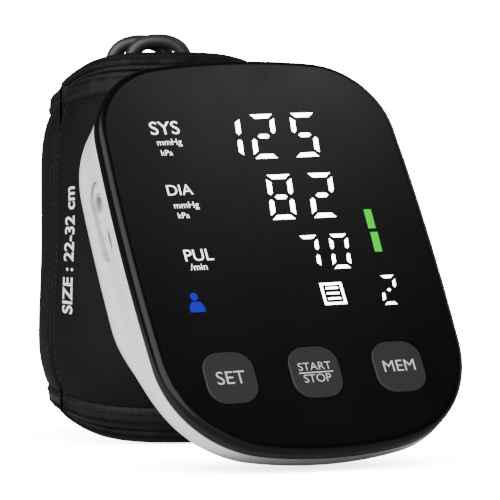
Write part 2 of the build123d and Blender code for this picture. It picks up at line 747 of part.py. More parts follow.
with BuildPart() as loop_patch:
    with BuildSketch(height(TAIL_BASE + HOOK_MARGIN)):
        add(arc_band(OUTER_R, OUTER_R + LOOP_PILE, SEAM - FLAP_SPAN + SEAM_GAP, FLAP_SPAN - 2 * SEAM_GAP))
    extrude(amount=TAIL_HIGH - 2 * HOOK_MARGIN)
finish(loop_patch, "loop_patch")

with BuildPart() as outer_wrap:
    with BuildSketch(height(TAIL_BASE + TAIL_BINDING)):
        add(arc_band(OUTER_R, WRAP_R, SEAM + SEAM_GAP / 2, 360 - FLAP_SPAN - SEAM_GAP))
    extrude(amount=TAIL_HIGH - 2 * TAIL_BINDING)
finish(outer_wrap, "outer_wrap")

with BuildPart() as wrap_bindings:
    for base in (TAIL_BASE, TAIL_BASE + TAIL_HIGH - TAIL_BINDING):
        with BuildSketch(height(base)):
            add(arc_band(OUTER_R, WRAP_R, SEAM + SEAM_GAP / 2, 360 - FLAP_SPAN - SEAM_GAP))
        extrude(amount=TAIL_BINDING)
finish(wrap_bindings, "wrap_bindings")

with BuildPart() as hook_patch:
    with BuildSketch(height(TAIL_BASE + HOOK_MARGIN)):
        add(arc_band(TAIL_R, TAIL_R + HOOK_PILE, SEAM - FLAP_SPAN + SEAM_GAP, FLAP_SPAN - 2 * SEAM_GAP))
    extrude(amount=TAIL_HIGH - 2 * HOOK_MARGIN)
finish(hook_patch, "hook_patch")

with BuildPart() as flap:
    with BuildSketch(height(TAIL_BASE + TAIL_BINDING)):
        add(arc_band(TAIL_R + HOOK_PILE, WRAP_R, SEAM - FLAP_SPAN + SEAM_GAP, FLAP_SPAN - 1.5 * SEAM_GAP))
    extrude(amount=TAIL_HIGH - 2 * TAIL_BINDING)
finish(flap, "flap")

with BuildPart() as flap_bindings:
    for base in (TAIL_BASE, TAIL_BASE + TAIL_HIGH - TAIL_BINDING):
        with BuildSketch(height(base)):
            add(arc_band(TAIL_R + HOOK_PILE, WRAP_R, SEAM - FLAP_SPAN + SEAM_GAP, FLAP_SPAN - 1.5 * SEAM_GAP))
        extrude(amount=TAIL_BINDING)
finish(flap_bindings, "flap_bindings")

bar_turn = radians(BAR_ANGLE)
BAR_OUT = Vector(cos(bar_turn), sin(bar_turn), 0)
BAR_SIDE = Vector(-sin(bar_turn), cos(bar_turn), 0)
BAR_R = HOLLOW_R - BAR_WIRE / 2 - BAR_SINK
bar_middle = Vector(ROLL_X, ROLL_Y, CUFF_HIGH / 2) + BAR_OUT * BAR_R
with BuildPart() as metal_bar:
    with BuildLine(Plane(origin=bar_middle, x_dir=BAR_SIDE, z_dir=BAR_OUT)) as bar_line:
        half_wide = (BAR_WIDE - BAR_WIRE) / 2
        half_high = (BAR_HIGH - BAR_WIRE) / 2
        FilletPolyline(
            (half_wide, half_high),
            (half_wide, -half_high),
            (-half_wide, -half_high),
            (-half_wide, half_high),
            radius=BAR_WIRE,
            close=True,
        )
    with BuildSketch(Plane(origin=bar_line.line @ 0, z_dir=bar_line.line % 0)):
        Circle(BAR_WIRE / 2)
    sweep(path=bar_line.line)
finish(metal_bar, "metal_bar")

leg = BAR_OUT * BAR_R + BAR_SIDE * half_wide
with BuildPart() as bar_tape:
    with BuildSketch(height((CUFF_HIGH - TAPE_HIGH) / 2)):
        with Locations(Location((leg.X, leg.Y), degrees(bar_turn))):
            RectangleRounded(TAPE_DEEP, TAPE_WIDE, TAPE_ROUND)
        Circle(HOLLOW_R, mode=Mode.INTERSECT)
        with Locations((leg.X, leg.Y)):
            Circle(BAR_WIRE / 2, mode=Mode.SUBTRACT)
    extrude(amount=TAPE_HIGH)
finish(bar_tape, "bar_tape")

# ================================================================ hose
with BuildPart() as hose_elbow:
    elbow_foot = elbow_plane(HOLLOW_R + LINING - ELBOW_SEAT).origin
    elbow_points = [elbow_foot, around_roll(*ELBOW_BASE), around_roll(*HOSE_ROUTE[0])]
    with BuildLine() as elbow_line:
        FilletPolyline(*elbow_points, radius=ELBOW_BEND)
    with BuildSketch(Plane(origin=elbow_line.line @ 0, z_dir=elbow_line.line % 0)):
        Circle(ELBOW_D / 2)
    sweep(path=elbow_line.line)
    with BuildSketch(elbow_plane(HOLLOW_R - ELBOW_FLANGE_SINK)):
        Circle(ELBOW_FLANGE_D / 2)
    extrude(amount=-ELBOW_FLANGE)
finish(hose_elbow, "hose_elbow")

route = [around_roll(*point) for point in HOSE_ROUTE]
radii = corner_radii(route)
with BuildPart() as air_hose:
    with BuildLine() as hose_line:
        FilletPolyline(*route, radius=radii)
    with BuildSketch(Plane(origin=hose_line.line @ 0, z_dir=hose_line.line % 0)):
        Circle(HOSE_D / 2)
    sweep(path=hose_line.line)
finish(air_hose, "air_hose")
hose_length = sum(edge.length for edge in hose_line.edges())
tube_volume = pi * HOSE_D**2 / 4 * hose_length
print("hose length", round(hose_length, 1), "mm")
print("hose radii", [round(r, 1) for r in radii])
print("hose volume over section times length", round(air_hose.part.volume / tube_volume, 4))

with BuildPart() as hose_plug:
    plug_plane = Plane(origin=hose_line.line @ 1, z_dir=hose_line.line % 1)
    with BuildSketch(plug_plane):
        Circle(PLUG_D / 2)
    extrude(amount=PLUG_LONG - PLUG_TIP_LONG)
    chamfer(hose_plug.edges().group_by(Axis.Z)[-1], PLUG_CHAMFER)
    with BuildSketch(plug_plane.offset(PLUG_LONG - PLUG_TIP_LONG)):
        Circle(PLUG_TIP_D / 2)
    extrude(amount=PLUG_TIP_LONG)
finish(hose_plug, "hose_plug")
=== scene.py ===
"""Looks of an upper-arm blood pressure monitor leaning on its rolled cuff, built around the CAD frame.

Everything is in metres in the shared frame: +Z up, the monitor's face looks towards -Y. Sizes that a
maker would give in millimetres are written in millimetres and multiplied by MM.
"""

import json
import logging
import math
from dataclasses import dataclass
from enum import Enum
from typing import Callable, Optional, Sequence

import bmesh
import bpy
from mathutils import Euler, Matrix, Vector, noise

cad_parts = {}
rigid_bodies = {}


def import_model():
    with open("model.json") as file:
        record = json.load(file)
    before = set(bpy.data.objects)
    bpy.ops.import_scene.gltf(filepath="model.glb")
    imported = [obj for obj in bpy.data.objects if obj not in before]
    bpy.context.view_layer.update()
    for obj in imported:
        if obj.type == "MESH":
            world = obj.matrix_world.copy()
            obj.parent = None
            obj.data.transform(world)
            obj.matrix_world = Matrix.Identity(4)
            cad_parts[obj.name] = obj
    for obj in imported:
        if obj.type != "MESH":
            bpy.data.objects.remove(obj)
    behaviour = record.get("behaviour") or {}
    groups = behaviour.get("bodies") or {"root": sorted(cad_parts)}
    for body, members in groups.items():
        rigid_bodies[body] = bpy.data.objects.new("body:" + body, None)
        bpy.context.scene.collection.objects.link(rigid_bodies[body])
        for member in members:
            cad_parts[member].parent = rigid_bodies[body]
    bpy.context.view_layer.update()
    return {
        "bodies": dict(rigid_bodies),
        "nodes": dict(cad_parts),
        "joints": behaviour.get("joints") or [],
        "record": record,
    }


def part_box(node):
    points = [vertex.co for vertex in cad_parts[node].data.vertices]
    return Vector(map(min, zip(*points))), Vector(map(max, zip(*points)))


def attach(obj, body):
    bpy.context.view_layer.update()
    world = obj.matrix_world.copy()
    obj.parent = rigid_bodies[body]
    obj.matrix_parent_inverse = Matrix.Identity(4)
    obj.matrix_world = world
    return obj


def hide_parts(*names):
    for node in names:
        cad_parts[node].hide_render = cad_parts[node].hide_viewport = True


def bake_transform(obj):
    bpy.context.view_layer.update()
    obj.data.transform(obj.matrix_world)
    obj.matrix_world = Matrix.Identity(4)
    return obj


MM = 0.001
LOG = logging.getLogger("monitor")
Point = tuple[float, float]
Colour = tuple[float, float, float]
Point3 = tuple[float, float, float]


# ---------------------------------------------------------------- shader building
class Wire:
    """A shader socket that carries a number; arithmetic on it adds Math nodes."""

    def __init__(self, shader: "Shader", socket: bpy.types.NodeSocket) -> None:
        """Keep the socket and the shader that owns it."""
        self.shader = shader
        self.socket = socket

    def maths(self, operation: str, *others: "Wire | float") -> "Wire":
        """Add one Math node.

        Args:
            operation: name of the Math node's operation.
            others: further operands.

        Returns:
            The node's result.
        """
        values = {index: value for index, value in enumerate((self, *others))}
        return self.shader.node("ShaderNodeMath", {"operation": operation}, values)

    def __add__(self, other: "Wire | float") -> "Wire":
        """Sum."""
        return self.maths("ADD", other)

    __radd__ = __add__

    def __mul__(self, other: "Wire | float") -> "Wire":
        """Product."""
        return self.maths("MULTIPLY", other)

    __rmul__ = __mul__

    def __sub__(self, other: "Wire | float") -> "Wire":
        """Difference."""
        return self.maths("SUBTRACT", other)

    def __rsub__(self, other: float) -> "Wire":
        """Difference from a number."""
        return self.maths("MULTIPLY", -1.0) + other

    def __truediv__(self, other: "Wire | float") -> "Wire":
        """Quotient."""
        return self.maths("DIVIDE", other)

    def sine(self) -> "Wire":
        """Sine of the value in radians."""
        return self.maths("SINE")

    def size(self) -> "Wire":
        """Absolute value."""
        return self.maths("ABSOLUTE")

    def smooth(self, low: float, high: float) -> "Wire":
        """A smooth step from 0 at low to 1 at high."""
        settings = {"interpolation_type": "SMOOTHSTEP"}
        return self.shader.node("ShaderNodeMapRange", settings, {0: self, 1: low, 2: high})


class Shader:
    """A material's node tree with one Principled shader."""

    def __init__(self, name: str) -> None:
        """Start an empty tree."""
        self.material = bpy.data.materials.new(name)
        self.material.use_nodes = True
        self.tree = self.material.node_tree
        self.tree.nodes.clear()

    def node(
        self, kind: str, settings: Optional[dict] = None, values: Optional[dict] = None, out: int | str = 0
    ) -> Wire:
        """Add one node.

        Args:
            kind: the node's type.
            settings: properties that are set first; "stops" fills a colour ramp.
            values: numbers, colours or wires, by socket name or index.
            out: name or index of the socket that is wanted.

        Returns:
            The wanted output.
        """
        made = self.tree.nodes.new(kind)
        for key, value in (settings or {}).items():
            if key == "stops":
                ramp = made.color_ramp
                while len(ramp.elements) < len(value):
                    ramp.elements.new(0.5)
                for element, (place, colour) in zip(ramp.elements, value):
                    element.position = place
                    element.color = (*colour, 1.0)
            else:
                setattr(made, key, value)
        for key, value in (values or {}).items():
            socket = made.inputs[key]
            if isinstance(value, Wire):
                self.tree.links.new(value.socket, socket)
            elif socket.type == "RGBA" and len(value) == 3:
                socket.default_value = (*value, 1.0)
            else:
                socket.default_value = value
        return Wire(self, made.outputs[out])

    def place(self) -> Wire:
        """Object coordinates."""
        return self.node("ShaderNodeTexCoord", out="Object")

    def cloth_place(self) -> Wire:
        """The piece's own flat coordinates in metres."""
        return self.node("ShaderNodeUVMap", {"uv_map": "flat"})

    def grain(self, scale: float, detail: float = 2.0, place: Optional[Wire] = None) -> Wire:
        """A noise value from 0 to 1.

        Args:
            scale: cells in a metre.
            detail: octaves.
            place: coordinates, or None for Object coordinates.

        Returns:
            The noise.
        """
        values = {"Vector": place or self.place(), "Scale": scale, "Detail": detail}
        return self.node("ShaderNodeTexNoise", None, values, "Fac")

    def mix(self, share: Wire, first: Colour, second: Colour) -> Wire:
        """A colour between two by a share."""
        settings = {"data_type": "RGBA"}
        return self.node("ShaderNodeMix", settings, {0: share, 6: first, 7: second}, 2)

    def bump(self, height: Wire, depth: float, strength: float = 1.0) -> Wire:
        """A normal from a height.

        Args:
            height: wire from 0 to 1.
            depth: height of 1, in metres.
            strength: share of the effect.

        Returns:
            The normal.
        """
        return self.node("ShaderNodeBump", None, {"Height": height, "Distance": depth, "Strength": strength})

    def close(self, values: dict) -> bpy.types.Material:
        """Add the Principled shader and the output.

        Args:
            values: sockets of the Principled shader.

        Returns:
            The finished material.
        """
        surface = self.node("ShaderNodeBsdfPrincipled", None, values)
        self.node_output(surface)
        return self.material

    def node_output(self, surface: Wire) -> None:
        """Link a surface to the material's output."""
        output = self.tree.nodes.new("ShaderNodeOutputMaterial")
        self.tree.links.new(surface.socket, output.inputs["Surface"])


# ---------------------------------------------------------------- finishes
@dataclass(frozen=True)
class MouldedPlastic:
    """Injection-moulded plastic with a fine spark-eroded grain, handling marks and, where asked, painted shade in
    recesses.
    """

    name: str
    colour: Colour
    roughness: float = 0.4
    grain_depth: float = 0.00001
    grain_scale: float = 2600.0
    wear: float = 0.06
    shine: float = 0.5
    painted_hollow_shade: float = 0.0  # painted shade: how much ambient occlusion darkens the colour in recesses and near other parts

    def material(self) -> bpy.types.Material:
        """Build the material."""
        sh = Shader(self.name)
        clouds = sh.grain(38.0, 3.0)
        fine = sh.grain(self.grain_scale, 2.0)
        worn = tuple(min(1.0, c * (1 + self.wear) + self.wear * 0.01) for c in self.colour)
        deep = tuple(c * (1 - self.wear) for c in self.colour)
        base = sh.mix(clouds, deep, worn)
        # Painted shade: ambient occlusion darkens the base colour in recesses and where other parts come close.
        if self.painted_hollow_shade:
            painted_shade_openness = sh.node("ShaderNodeAmbientOcclusion", {"samples": 8}, {"Distance": 9 * MM}, "AO")
            share = painted_shade_openness.smooth(0.2, 0.95) * self.painted_hollow_shade + (1 - self.painted_hollow_shade)
            base = sh.node("ShaderNodeVectorMath", {"operation": "SCALE"}, {0: base, "Scale": share})
        values = {
            "Base Color": base,
            "Specular IOR Level": self.shine,
            "Roughness": (clouds - 0.5) * 0.12 + (fine - 0.5) * 0.05 + self.roughness,
            "Normal": sh.bump(fine, self.grain_depth),
        }
        return sh.close(values)


@dataclass(frozen=True)
class WovenCloth:
    """Plain-woven coated nylon: two sets of threads, soft creases and a little dust."""

    name: str
    colour: Colour
    thread: float = 0.42 * MM
    roughness: float = 0.62
    depth: float = 0.05 * MM
    sheen: float = 0.015

    def material(self) -> bpy.types.Material:
        """Build the material."""
        sh = Shader(self.name)
        flat = sh.cloth_place()
        across = sh.node("ShaderNodeSeparateXYZ", None, {0: flat}, "X")
        along = sh.node("ShaderNodeSeparateXYZ", None, {0: flat}, "Y")
        turn = math.pi / self.thread
        warp = (across * turn).sine()
        weft = (along * turn).sine()
        weave = (warp * weft) * 0.5 + 0.5
        slub = sh.grain(900.0, 3.0)
        crease = sh.grain(70.0, 4.0)
        dust = sh.grain(1500.0, 0.0).smooth(0.80, 0.86)
        height = weave * 0.6 + slub * 0.4
        light = tuple(c * 1.75 + 0.002 for c in self.colour)
        share = (weave * 0.45 + slub * 0.25 + crease * 0.5 + dust * 0.6) * 0.8
        values = {
            "Base Color": sh.mix(share, tuple(c * 0.7 for c in self.colour), light),
            "Roughness": (crease - 0.5) * 0.16 + (1 - weave) * 0.08 + self.roughness,
            "Normal": sh.bump(height, self.depth, 0.9),
            "Sheen Weight": self.sheen,
            "Sheen Roughness": 0.45,
            "Specular IOR Level": 0.14,
        }
        return sh.close(values)


@dataclass(frozen=True)
class RibbedTape:
    """Grosgrain binding tape: close ribs across its length."""

    name: str
    colour: Colour
    rib: float = 0.72 * MM
    roughness: float = 0.5

    def material(self) -> bpy.types.Material:
        """Build the material."""
        sh = Shader(self.name)
        flat = sh.cloth_place()
        across = sh.node("ShaderNodeSeparateXYZ", None, {0: flat}, "X")
        along = sh.node("ShaderNodeSeparateXYZ", None, {0: flat}, "Y")
        rib = (across * (math.pi / self.rib)).sine().size()
        thread = (along * (math.pi / (0.3 * MM))).sine().size()
        fluff = sh.grain(700.0, 3.0)
        values = {
            "Base Color": sh.mix(
                rib * 0.6 + fluff * 0.4, tuple(c * 0.6 for c in self.colour), tuple(c * 1.6 for c in self.colour)
            ),
            "Roughness": (fluff - 0.5) * 0.2 + self.roughness,
            "Normal": sh.bump(rib * 0.8 + thread * 0.2, 0.10 * MM, 0.8),
            "Sheen Weight": 0.02,
            "Sheen Roughness": 0.4,
            "Specular IOR Level": 0.2,
        }
        return sh.close(values)


@dataclass(frozen=True)
class Pile:
    """Hook or loop pile, and brushed lining."""

    name: str
    colour: Colour
    scale: float = 1400.0
    depth: float = 0.25 * MM

    def material(self) -> bpy.types.Material:
        """Build the material."""
        sh = Shader(self.name)
        tuft = sh.node("ShaderNodeTexVoronoi", None, {"Vector": sh.place(), "Scale": self.scale}, "Distance")
        fluff = sh.grain(420.0, 3.0)
        values = {
            "Base Color": sh.mix(fluff, tuple(c * 0.6 for c in self.colour), tuple(c * 1.5 for c in self.colour)),
            "Roughness": (fluff - 0.5) * 0.1 + 0.88,
            "Normal": sh.bump(1 - tuft, self.depth, 0.7),
            "Sheen Weight": 0.15,
            "Sheen Roughness": 0.5,
        }
        return sh.close(values)


@dataclass(frozen=True)
class Metal:
    """Plated or printed metal with fine brushing."""

    name: str
    colour: Colour
    roughness: float = 0.28

    def material(self) -> bpy.types.Material:
        """Build the material."""
        sh = Shader(self.name)
        clouds = sh.grain(160.0, 4.0)
        fine = sh.grain(2400.0, 2.0)
        values = {
            "Base Color": sh.mix(clouds, tuple(c * 0.82 for c in self.colour), self.colour),
            "Metallic": 1.0,
            "Roughness": (clouds - 0.5) * 0.16 + self.roughness,
            "Normal": sh.bump(fine, 0.000004),
        }
        return sh.close(values)


@dataclass(frozen=True)
class Lit:
    """A lit sign or segment seen through the dark panel, or printed ink given a painted glow."""

    name: str
    colour: Colour
    strength: float = 1.0

    def material(self) -> bpy.types.Material:
        """Build the material."""
        sh = Shader(self.name)
        spread = sh.grain(300.0, 1.0)
        values = {
            "Base Color": tuple(c * 0.5 for c in self.colour),
            "Emission Color": sh.mix(spread, tuple(c * 0.93 for c in self.colour), self.colour),
            "Emission Strength": self.strength,
            "Roughness": 0.4,
        }
        return sh.close(values)


class Finish(Enum):
    """Every finish of the set."""

    PANEL = MouldedPlastic("glossy black panel", (0.0026, 0.0026, 0.0028), 0.25, 0.0, 1800.0, 0.02, shine=0.22)
    TRIM = MouldedPlastic("satin grey trim", (0.05, 0.051, 0.053), 0.36)
    # The white case carries painted shade from ambient occlusion in its recesses and where the cuff comes close.
    CASE = MouldedPlastic("satin white case", (0.93, 0.935, 0.94), 0.34, 0.000006, 2600.0, 0.015, painted_hollow_shade=0.75)
    KEY = MouldedPlastic("soft dark grey key", (0.024, 0.024, 0.025), 0.62, 0.00002, 2200.0, 0.05)
    SOCKET = MouldedPlastic("pale grey socket", (0.45, 0.46, 0.47), 0.42)
    INNER = MouldedPlastic("black inner plastic", (0.02, 0.02, 0.02), 0.5)
    DOOR = MouldedPlastic("white battery door", (0.78, 0.79, 0.80), 0.38, 0.000008)
    RUBBER = MouldedPlastic("grey foot rubber", (0.16, 0.16, 0.16), 0.75, 0.00002, 1500.0)
    HOSE = MouldedPlastic("black hose rubber", (0.026, 0.026, 0.027), 0.38, 0.000012, 1300.0, 0.15)
    FITTING = MouldedPlastic("black hose fitting", (0.016, 0.016, 0.017), 0.42, 0.00001, 1500.0, 0.1)
    BOARD = MouldedPlastic("green circuit board", (0.02, 0.14, 0.06), 0.4)
    FILM = MouldedPlastic("bladder film", (0.05, 0.05, 0.055), 0.45, 0.00002, 400.0)
    TUBE = MouldedPlastic("clear air tube", (0.55, 0.57, 0.56), 0.25)
    CELL = MouldedPlastic("cell wrap", (0.10, 0.22, 0.36), 0.3)
    PADDING = Pile("padding foam", (0.12, 0.12, 0.12), 800.0)
    NYLON = WovenCloth("black nylon", (0.0026, 0.0026, 0.0028))
    LINING = Pile("brushed black lining", (0.02, 0.02, 0.021), 1100.0, 0.12 * MM)
    TAPE = RibbedTape("black grosgrain tape", (0.0042, 0.0042, 0.0045))
    THREAD = MouldedPlastic("black sewing thread", (0.005, 0.005, 0.005), 0.6, 0.00003, 4000.0)
    LOOP = Pile("loop pile", (0.016, 0.016, 0.016))
    HOOK = Pile("hook pile", (0.02, 0.02, 0.021), 900.0, 0.4 * MM)
    STEEL = Metal("plated steel", (0.62, 0.62, 0.63))
    PRINT = MouldedPlastic("white print", (0.95, 0.95, 0.95), 0.6, 0.00001)
    # Key print is ink with a painted glow: it emits light though it is no lamp.
    GLOWING_KEY_PRINT = Lit("pale key print", (0.9, 0.9, 0.9), 0.5)
    WHITE_LIGHT = Lit("white segment light", (1.0, 1.0, 1.0), 14.0)
    WORD_LIGHT = Lit("white word light", (1.0, 1.0, 1.0), 2.4)
    GREEN_LIGHT = Lit("green bar light", (0.0, 1.0, 0.0), 0.6)
    BLUE_LIGHT = Lit("blue user light", (0.0, 0.0, 1.0), 0.09)

    def made(self) -> bpy.types.Material:
        """The finish's material, built once."""
        found = bpy.data.materials.get(self.value.name)
        return found or self.value.material()


# ---------------------------------------------------------------- mesh helpers
def new_piece(
    name: str, points: Sequence[Vector], faces: Sequence[Sequence[int]], finish: Finish, smooth: bool = True
) -> bpy.types.Object:
    """Make a mesh object in place at the origin.

    Args:
        name: the piece's name.
        points: its vertices in metres.
        faces: indices of each face.
        finish: its material.
        smooth: whether faces are shaded smooth.

    Returns:
        The object.
    """
    mesh = bpy.data.meshes.new(name)
    mesh.from_pydata([tuple(p) for p in points], [], [tuple(f) for f in faces])
    mesh.polygons.foreach_set("use_smooth", [smooth] * len(mesh.polygons))
    mesh.materials.append(finish.made())
    piece = bpy.data.objects.new(name, mesh)
    bpy.context.scene.collection.objects.link(piece)
    return piece


def outward(piece: bpy.types.Object) -> None:
    """Merge doubles and turn every face outwards."""
    work = bmesh.new()
    work.from_mesh(piece.data)
    bmesh.ops.remove_doubles(work, verts=work.verts, dist=1e-7)
    bmesh.ops.recalc_face_normals(work, faces=work.faces)
    work.to_mesh(piece.data)
    work.free()


def as_mesh(piece: bpy.types.Object, name: str, finish: Finish) -> bpy.types.Object:
    """Turn an object with live modifiers, text or a curve into a plain mesh object.

    Args:
        piece: the source, which is removed.
        name: name of the result.
        finish: its material.

    Returns:
        The plain object.
    """
    graph = bpy.context.evaluated_depsgraph_get()
    mesh = bpy.data.meshes.new_from_object(piece.evaluated_get(graph), depsgraph=graph)
    mesh.transform(piece.matrix_world)
    bpy.data.objects.remove(piece)
    mesh.name = name
    mesh.materials.clear()
    mesh.materials.append(finish.made())
    made = bpy.data.objects.new(name, mesh)
    bpy.context.scene.collection.objects.link(made)
    return made


class PathRepeat:
    """A Geometry Nodes tree that sets one small part at even steps along an edge path."""

    def __init__(self, name: str, sides: int) -> None:
        """Build the tree.

        Args:
            name: name of the tree.
            sides: sides of the small round bar that is repeated.
        """
        self.tree = bpy.data.node_groups.new(name, "GeometryNodeTree")
        face = self.tree.interface
        face.new_socket("Path", in_out="INPUT", socket_type="NodeSocketGeometry")
        self.sockets = {
            label: face.new_socket(label, in_out="INPUT", socket_type="NodeSocketFloat").identifier
            for label in ("Step", "Radius", "Length", "Lean", "Flat")
        }
        self.sockets["Finish"] = face.new_socket(
            "Finish", in_out="INPUT", socket_type="NodeSocketMaterial"
        ).identifier
        face.new_socket("Result", in_out="OUTPUT", socket_type="NodeSocketGeometry")
        start = self.add("NodeGroupInput")
        curve = self.add("GeometryNodeMeshToCurve", {}, {"Mesh": start.outputs["Path"]})
        points = self.add(
            "GeometryNodeCurveToPoints",
            {"mode": "LENGTH"},
            {"Curve": curve.outputs[0], "Length": start.outputs["Step"]},
        )
        bar = self.add(
            "GeometryNodeMeshCylinder",
            {"fill_type": "NGON"},
            {"Vertices": sides, "Radius": start.outputs["Radius"], "Depth": start.outputs["Length"]},
        )
        tangent = points.outputs["Tangent"]
        upright = self.add("ShaderNodeMix", {"data_type": "VECTOR"}, {0: start.outputs["Lean"]})
        self.tree.links.new(tangent, upright.inputs[4])
        upright.inputs[5].default_value = (0.0, 0.0, 1.0)
        turned = self.add(
            "FunctionNodeAlignRotationToVector", {"axis": "Z"}, {"Vector": upright.outputs[1]}
        )
        size = self.add("ShaderNodeCombineXYZ", {}, {"X": start.outputs["Flat"], "Y": 1.0, "Z": 1.0})
        placed = self.add(
            "GeometryNodeInstanceOnPoints",
            {},
            {
                "Points": points.outputs[0],
                "Instance": bar.outputs["Mesh"],
                "Rotation": turned.outputs[0],
                "Scale": size.outputs[0],
            },
        )
        real = self.add("GeometryNodeRealizeInstances", {}, {0: placed.outputs[0]})
        painted = self.add(
            "GeometryNodeSetMaterial", {}, {0: real.outputs[0], "Material": start.outputs["Finish"]}
        )
        end = self.add("NodeGroupOutput")
        self.tree.links.new(painted.outputs[0], end.inputs[0])

    def add(self, kind: str, settings: Optional[dict] = None, values: Optional[dict] = None) -> bpy.types.Node:
        """Add one node.

        Args:
            kind: the node's type.
            settings: properties that are set first.
            values: values or output sockets, by socket name or index.

        Returns:
            The node.
        """
        made = self.tree.nodes.new(kind)
        for key, value in (settings or {}).items():
            setattr(made, key, value)
        for key, value in (values or {}).items():
            if isinstance(value, bpy.types.NodeSocket):
                self.tree.links.new(value, made.inputs[key])
            else:
                made.inputs[key].default_value = value
        return made

    def along(
        self, name: str, paths: Sequence[Sequence[Vector]], step: float, radius: float, length: float,
        lean: float, finish: Finish, flat: float = 1.0,
    ) -> bpy.types.Object:
        """Lay the small part along paths.

        Args:
            name: name of the piece.
            paths: lists of points.
            step: distance from one to the next.
            radius: radius of the small bar.
            length: its length.
            lean: 0 lays it along the path and 1 stands it upright.
            finish: its material.
            flat: scale of one of its widths.

        Returns:
            The plain mesh piece.
        """
        points = [p for path in paths for p in path]
        edges, first = [], 0
        for path in paths:
            edges += [(first + i, first + i + 1) for i in range(len(path) - 1)]
            first += len(path)
        mesh = bpy.data.meshes.new(name + "_path")
        mesh.from_pydata([tuple(p) for p in points], edges, [])
        source = bpy.data.objects.new(name + "_path", mesh)
        bpy.context.scene.collection.objects.link(source)
        modifier = source.modifiers.new("repeat", "NODES")
        modifier.node_group = self.tree
        given = {"Step": step, "Radius": radius, "Length": length, "Lean": lean, "Flat": flat}
        for label, value in given.items():
            modifier[self.sockets[label]] = value
        modifier[self.sockets["Finish"]] = finish.made()
        made = as_mesh(source, name, finish)
        made.data.polygons.foreach_set("use_smooth", [True] * len(made.data.polygons))
        return made


# ---------------------------------------------------------------- the monitor
@dataclass(frozen=True)
class FaceFrame:
    """The monitor's own directions: u to the right, v up the face, w out of it."""

    origin: Vector
    u: Vector
    v: Vector
    w: Vector

    @classmethod
    def found(cls, frame: dict) -> "FaceFrame":
        """Work the frame out from the joints and the front cover.


        Returns:
            The frame, with its origin at the middle of the front plane.
        """
        axes = {j["name"]: Vector(j["axis"]).normalized() for j in frame["joints"]}
        w = -axes["set_key_press"]
        v = -axes["battery_door_slide"]
        u = v.cross(w).normalized()
        points = [p.co for p in frame["nodes"]["front_cover"].data.vertices]
        spans = [(min(p.dot(d) for p in points), max(p.dot(d) for p in points)) for d in (u, v)]
        front = max(p.dot(w) for p in points)
        origin = u * (sum(spans[0]) / 2) + v * (sum(spans[1]) / 2) + w * front
        return cls(origin, u, v, w)

    def at(self, u: float, v: float, out: float = 0.0) -> Vector:
        """A point, from millimetres across, up and out of the face."""
        return self.origin + (self.u * u + self.v * v + self.w * out) * MM

    def matrix(self, u: float, v: float, out: float) -> Matrix:
        """A placing whose X, Y and Z are u, v and w, in metres."""
        place = Matrix((self.u, self.v, self.w)).transposed().to_4x4()
        place.translation = self.at(u, v, out)
        return place


@dataclass(frozen=True)
class Digit:
    """One seven-segment figure: its left and bottom edges, width and height in millimetres."""

    figure: str
    left: float
    bottom: float
    wide: float
    high: float
    stroke: float


@dataclass(frozen=True)
class Label:
    """One word: text, place of its left edge or middle, width in millimetres."""

    text: str
    u: float
    v: float
    wide: float
    centred: bool = False


class Segment(Enum):
    """Segments of a figure, each with its corners as shares of width, height and stroke.

    A corner is (width share, height share, strokes right, strokes up, gaps right, gaps up).
    """

    TOP = ((0, 1, 0, 0, 1, 0), (1, 1, 0, 0, -1, 0), (1, 1, -1, -1, -1, 0), (0, 1, 1, -1, 1, 0))
    HIGH_LEFT = (
        (0, 1, 0, -0.2, 0, -3), (0, 1, 1, -1, 0, -3), (0, 0.5, 1, 0.5, 0, 2), (0, 0.5, 0.5, 0, 0, 2),
        (0, 0.5, 0, 0.5, 0, 2),
    )
    HIGH_RIGHT = (
        (1, 1, 0, -0.2, 0, -3), (1, 0.5, 0, 0.5, 0, 2), (1, 0.5, -0.5, 0, 0, 2), (1, 0.5, -1, 0.5, 0, 2),
        (1, 1, -1, -1, 0, -3),
    )
    MIDDLE = (
        (0, 0.5, 0.5, 0, 3.4, 0), (0, 0.5, 1, 0.5, 3.4, 0), (1, 0.5, -1, 0.5, -3.4, 0), (1, 0.5, -0.5, 0, -3.4, 0),
        (1, 0.5, -1, -0.5, -3.4, 0), (0, 0.5, 1, -0.5, 3.4, 0),
    )
    LOW_LEFT = (
        (0, 0, 0, 0.2, 0, 3), (0, 0.5, 0, -0.5, 0, -2), (0, 0.5, 0.5, 0, 0, -2), (0, 0.5, 1, -0.5, 0, -2),
        (0, 0, 1, 1, 0, 3),
    )
    LOW_RIGHT = (
        (1, 0, 0, 0.2, 0, 3), (1, 0, -1, 1, 0, 3), (1, 0.5, -1, -0.5, 0, -2), (1, 0.5, -0.5, 0, 0, -2),
        (1, 0.5, 0, -0.5, 0, -2),
    )
    BOTTOM = ((0, 0, 0, 0, 1, 0), (0, 0, 1, 1, 1, 0), (1, 0, -1, 1, -1, 0), (1, 0, 0, 0, -1, 0))


FIGURES = {
    "0": (Segment.TOP, Segment.HIGH_LEFT, Segment.HIGH_RIGHT, Segment.LOW_LEFT, Segment.LOW_RIGHT, Segment.BOTTOM),
    "1": (Segment.HIGH_RIGHT, Segment.LOW_RIGHT),
    "2": (Segment.TOP, Segment.HIGH_RIGHT, Segment.MIDDLE, Segment.LOW_LEFT, Segment.BOTTOM),
    "5": (Segment.TOP, Segment.HIGH_LEFT, Segment.MIDDLE, Segment.LOW_RIGHT, Segment.BOTTOM),
    "7": (Segment.TOP, Segment.HIGH_RIGHT, Segment.LOW_RIGHT),
    "8": tuple(Segment),
}


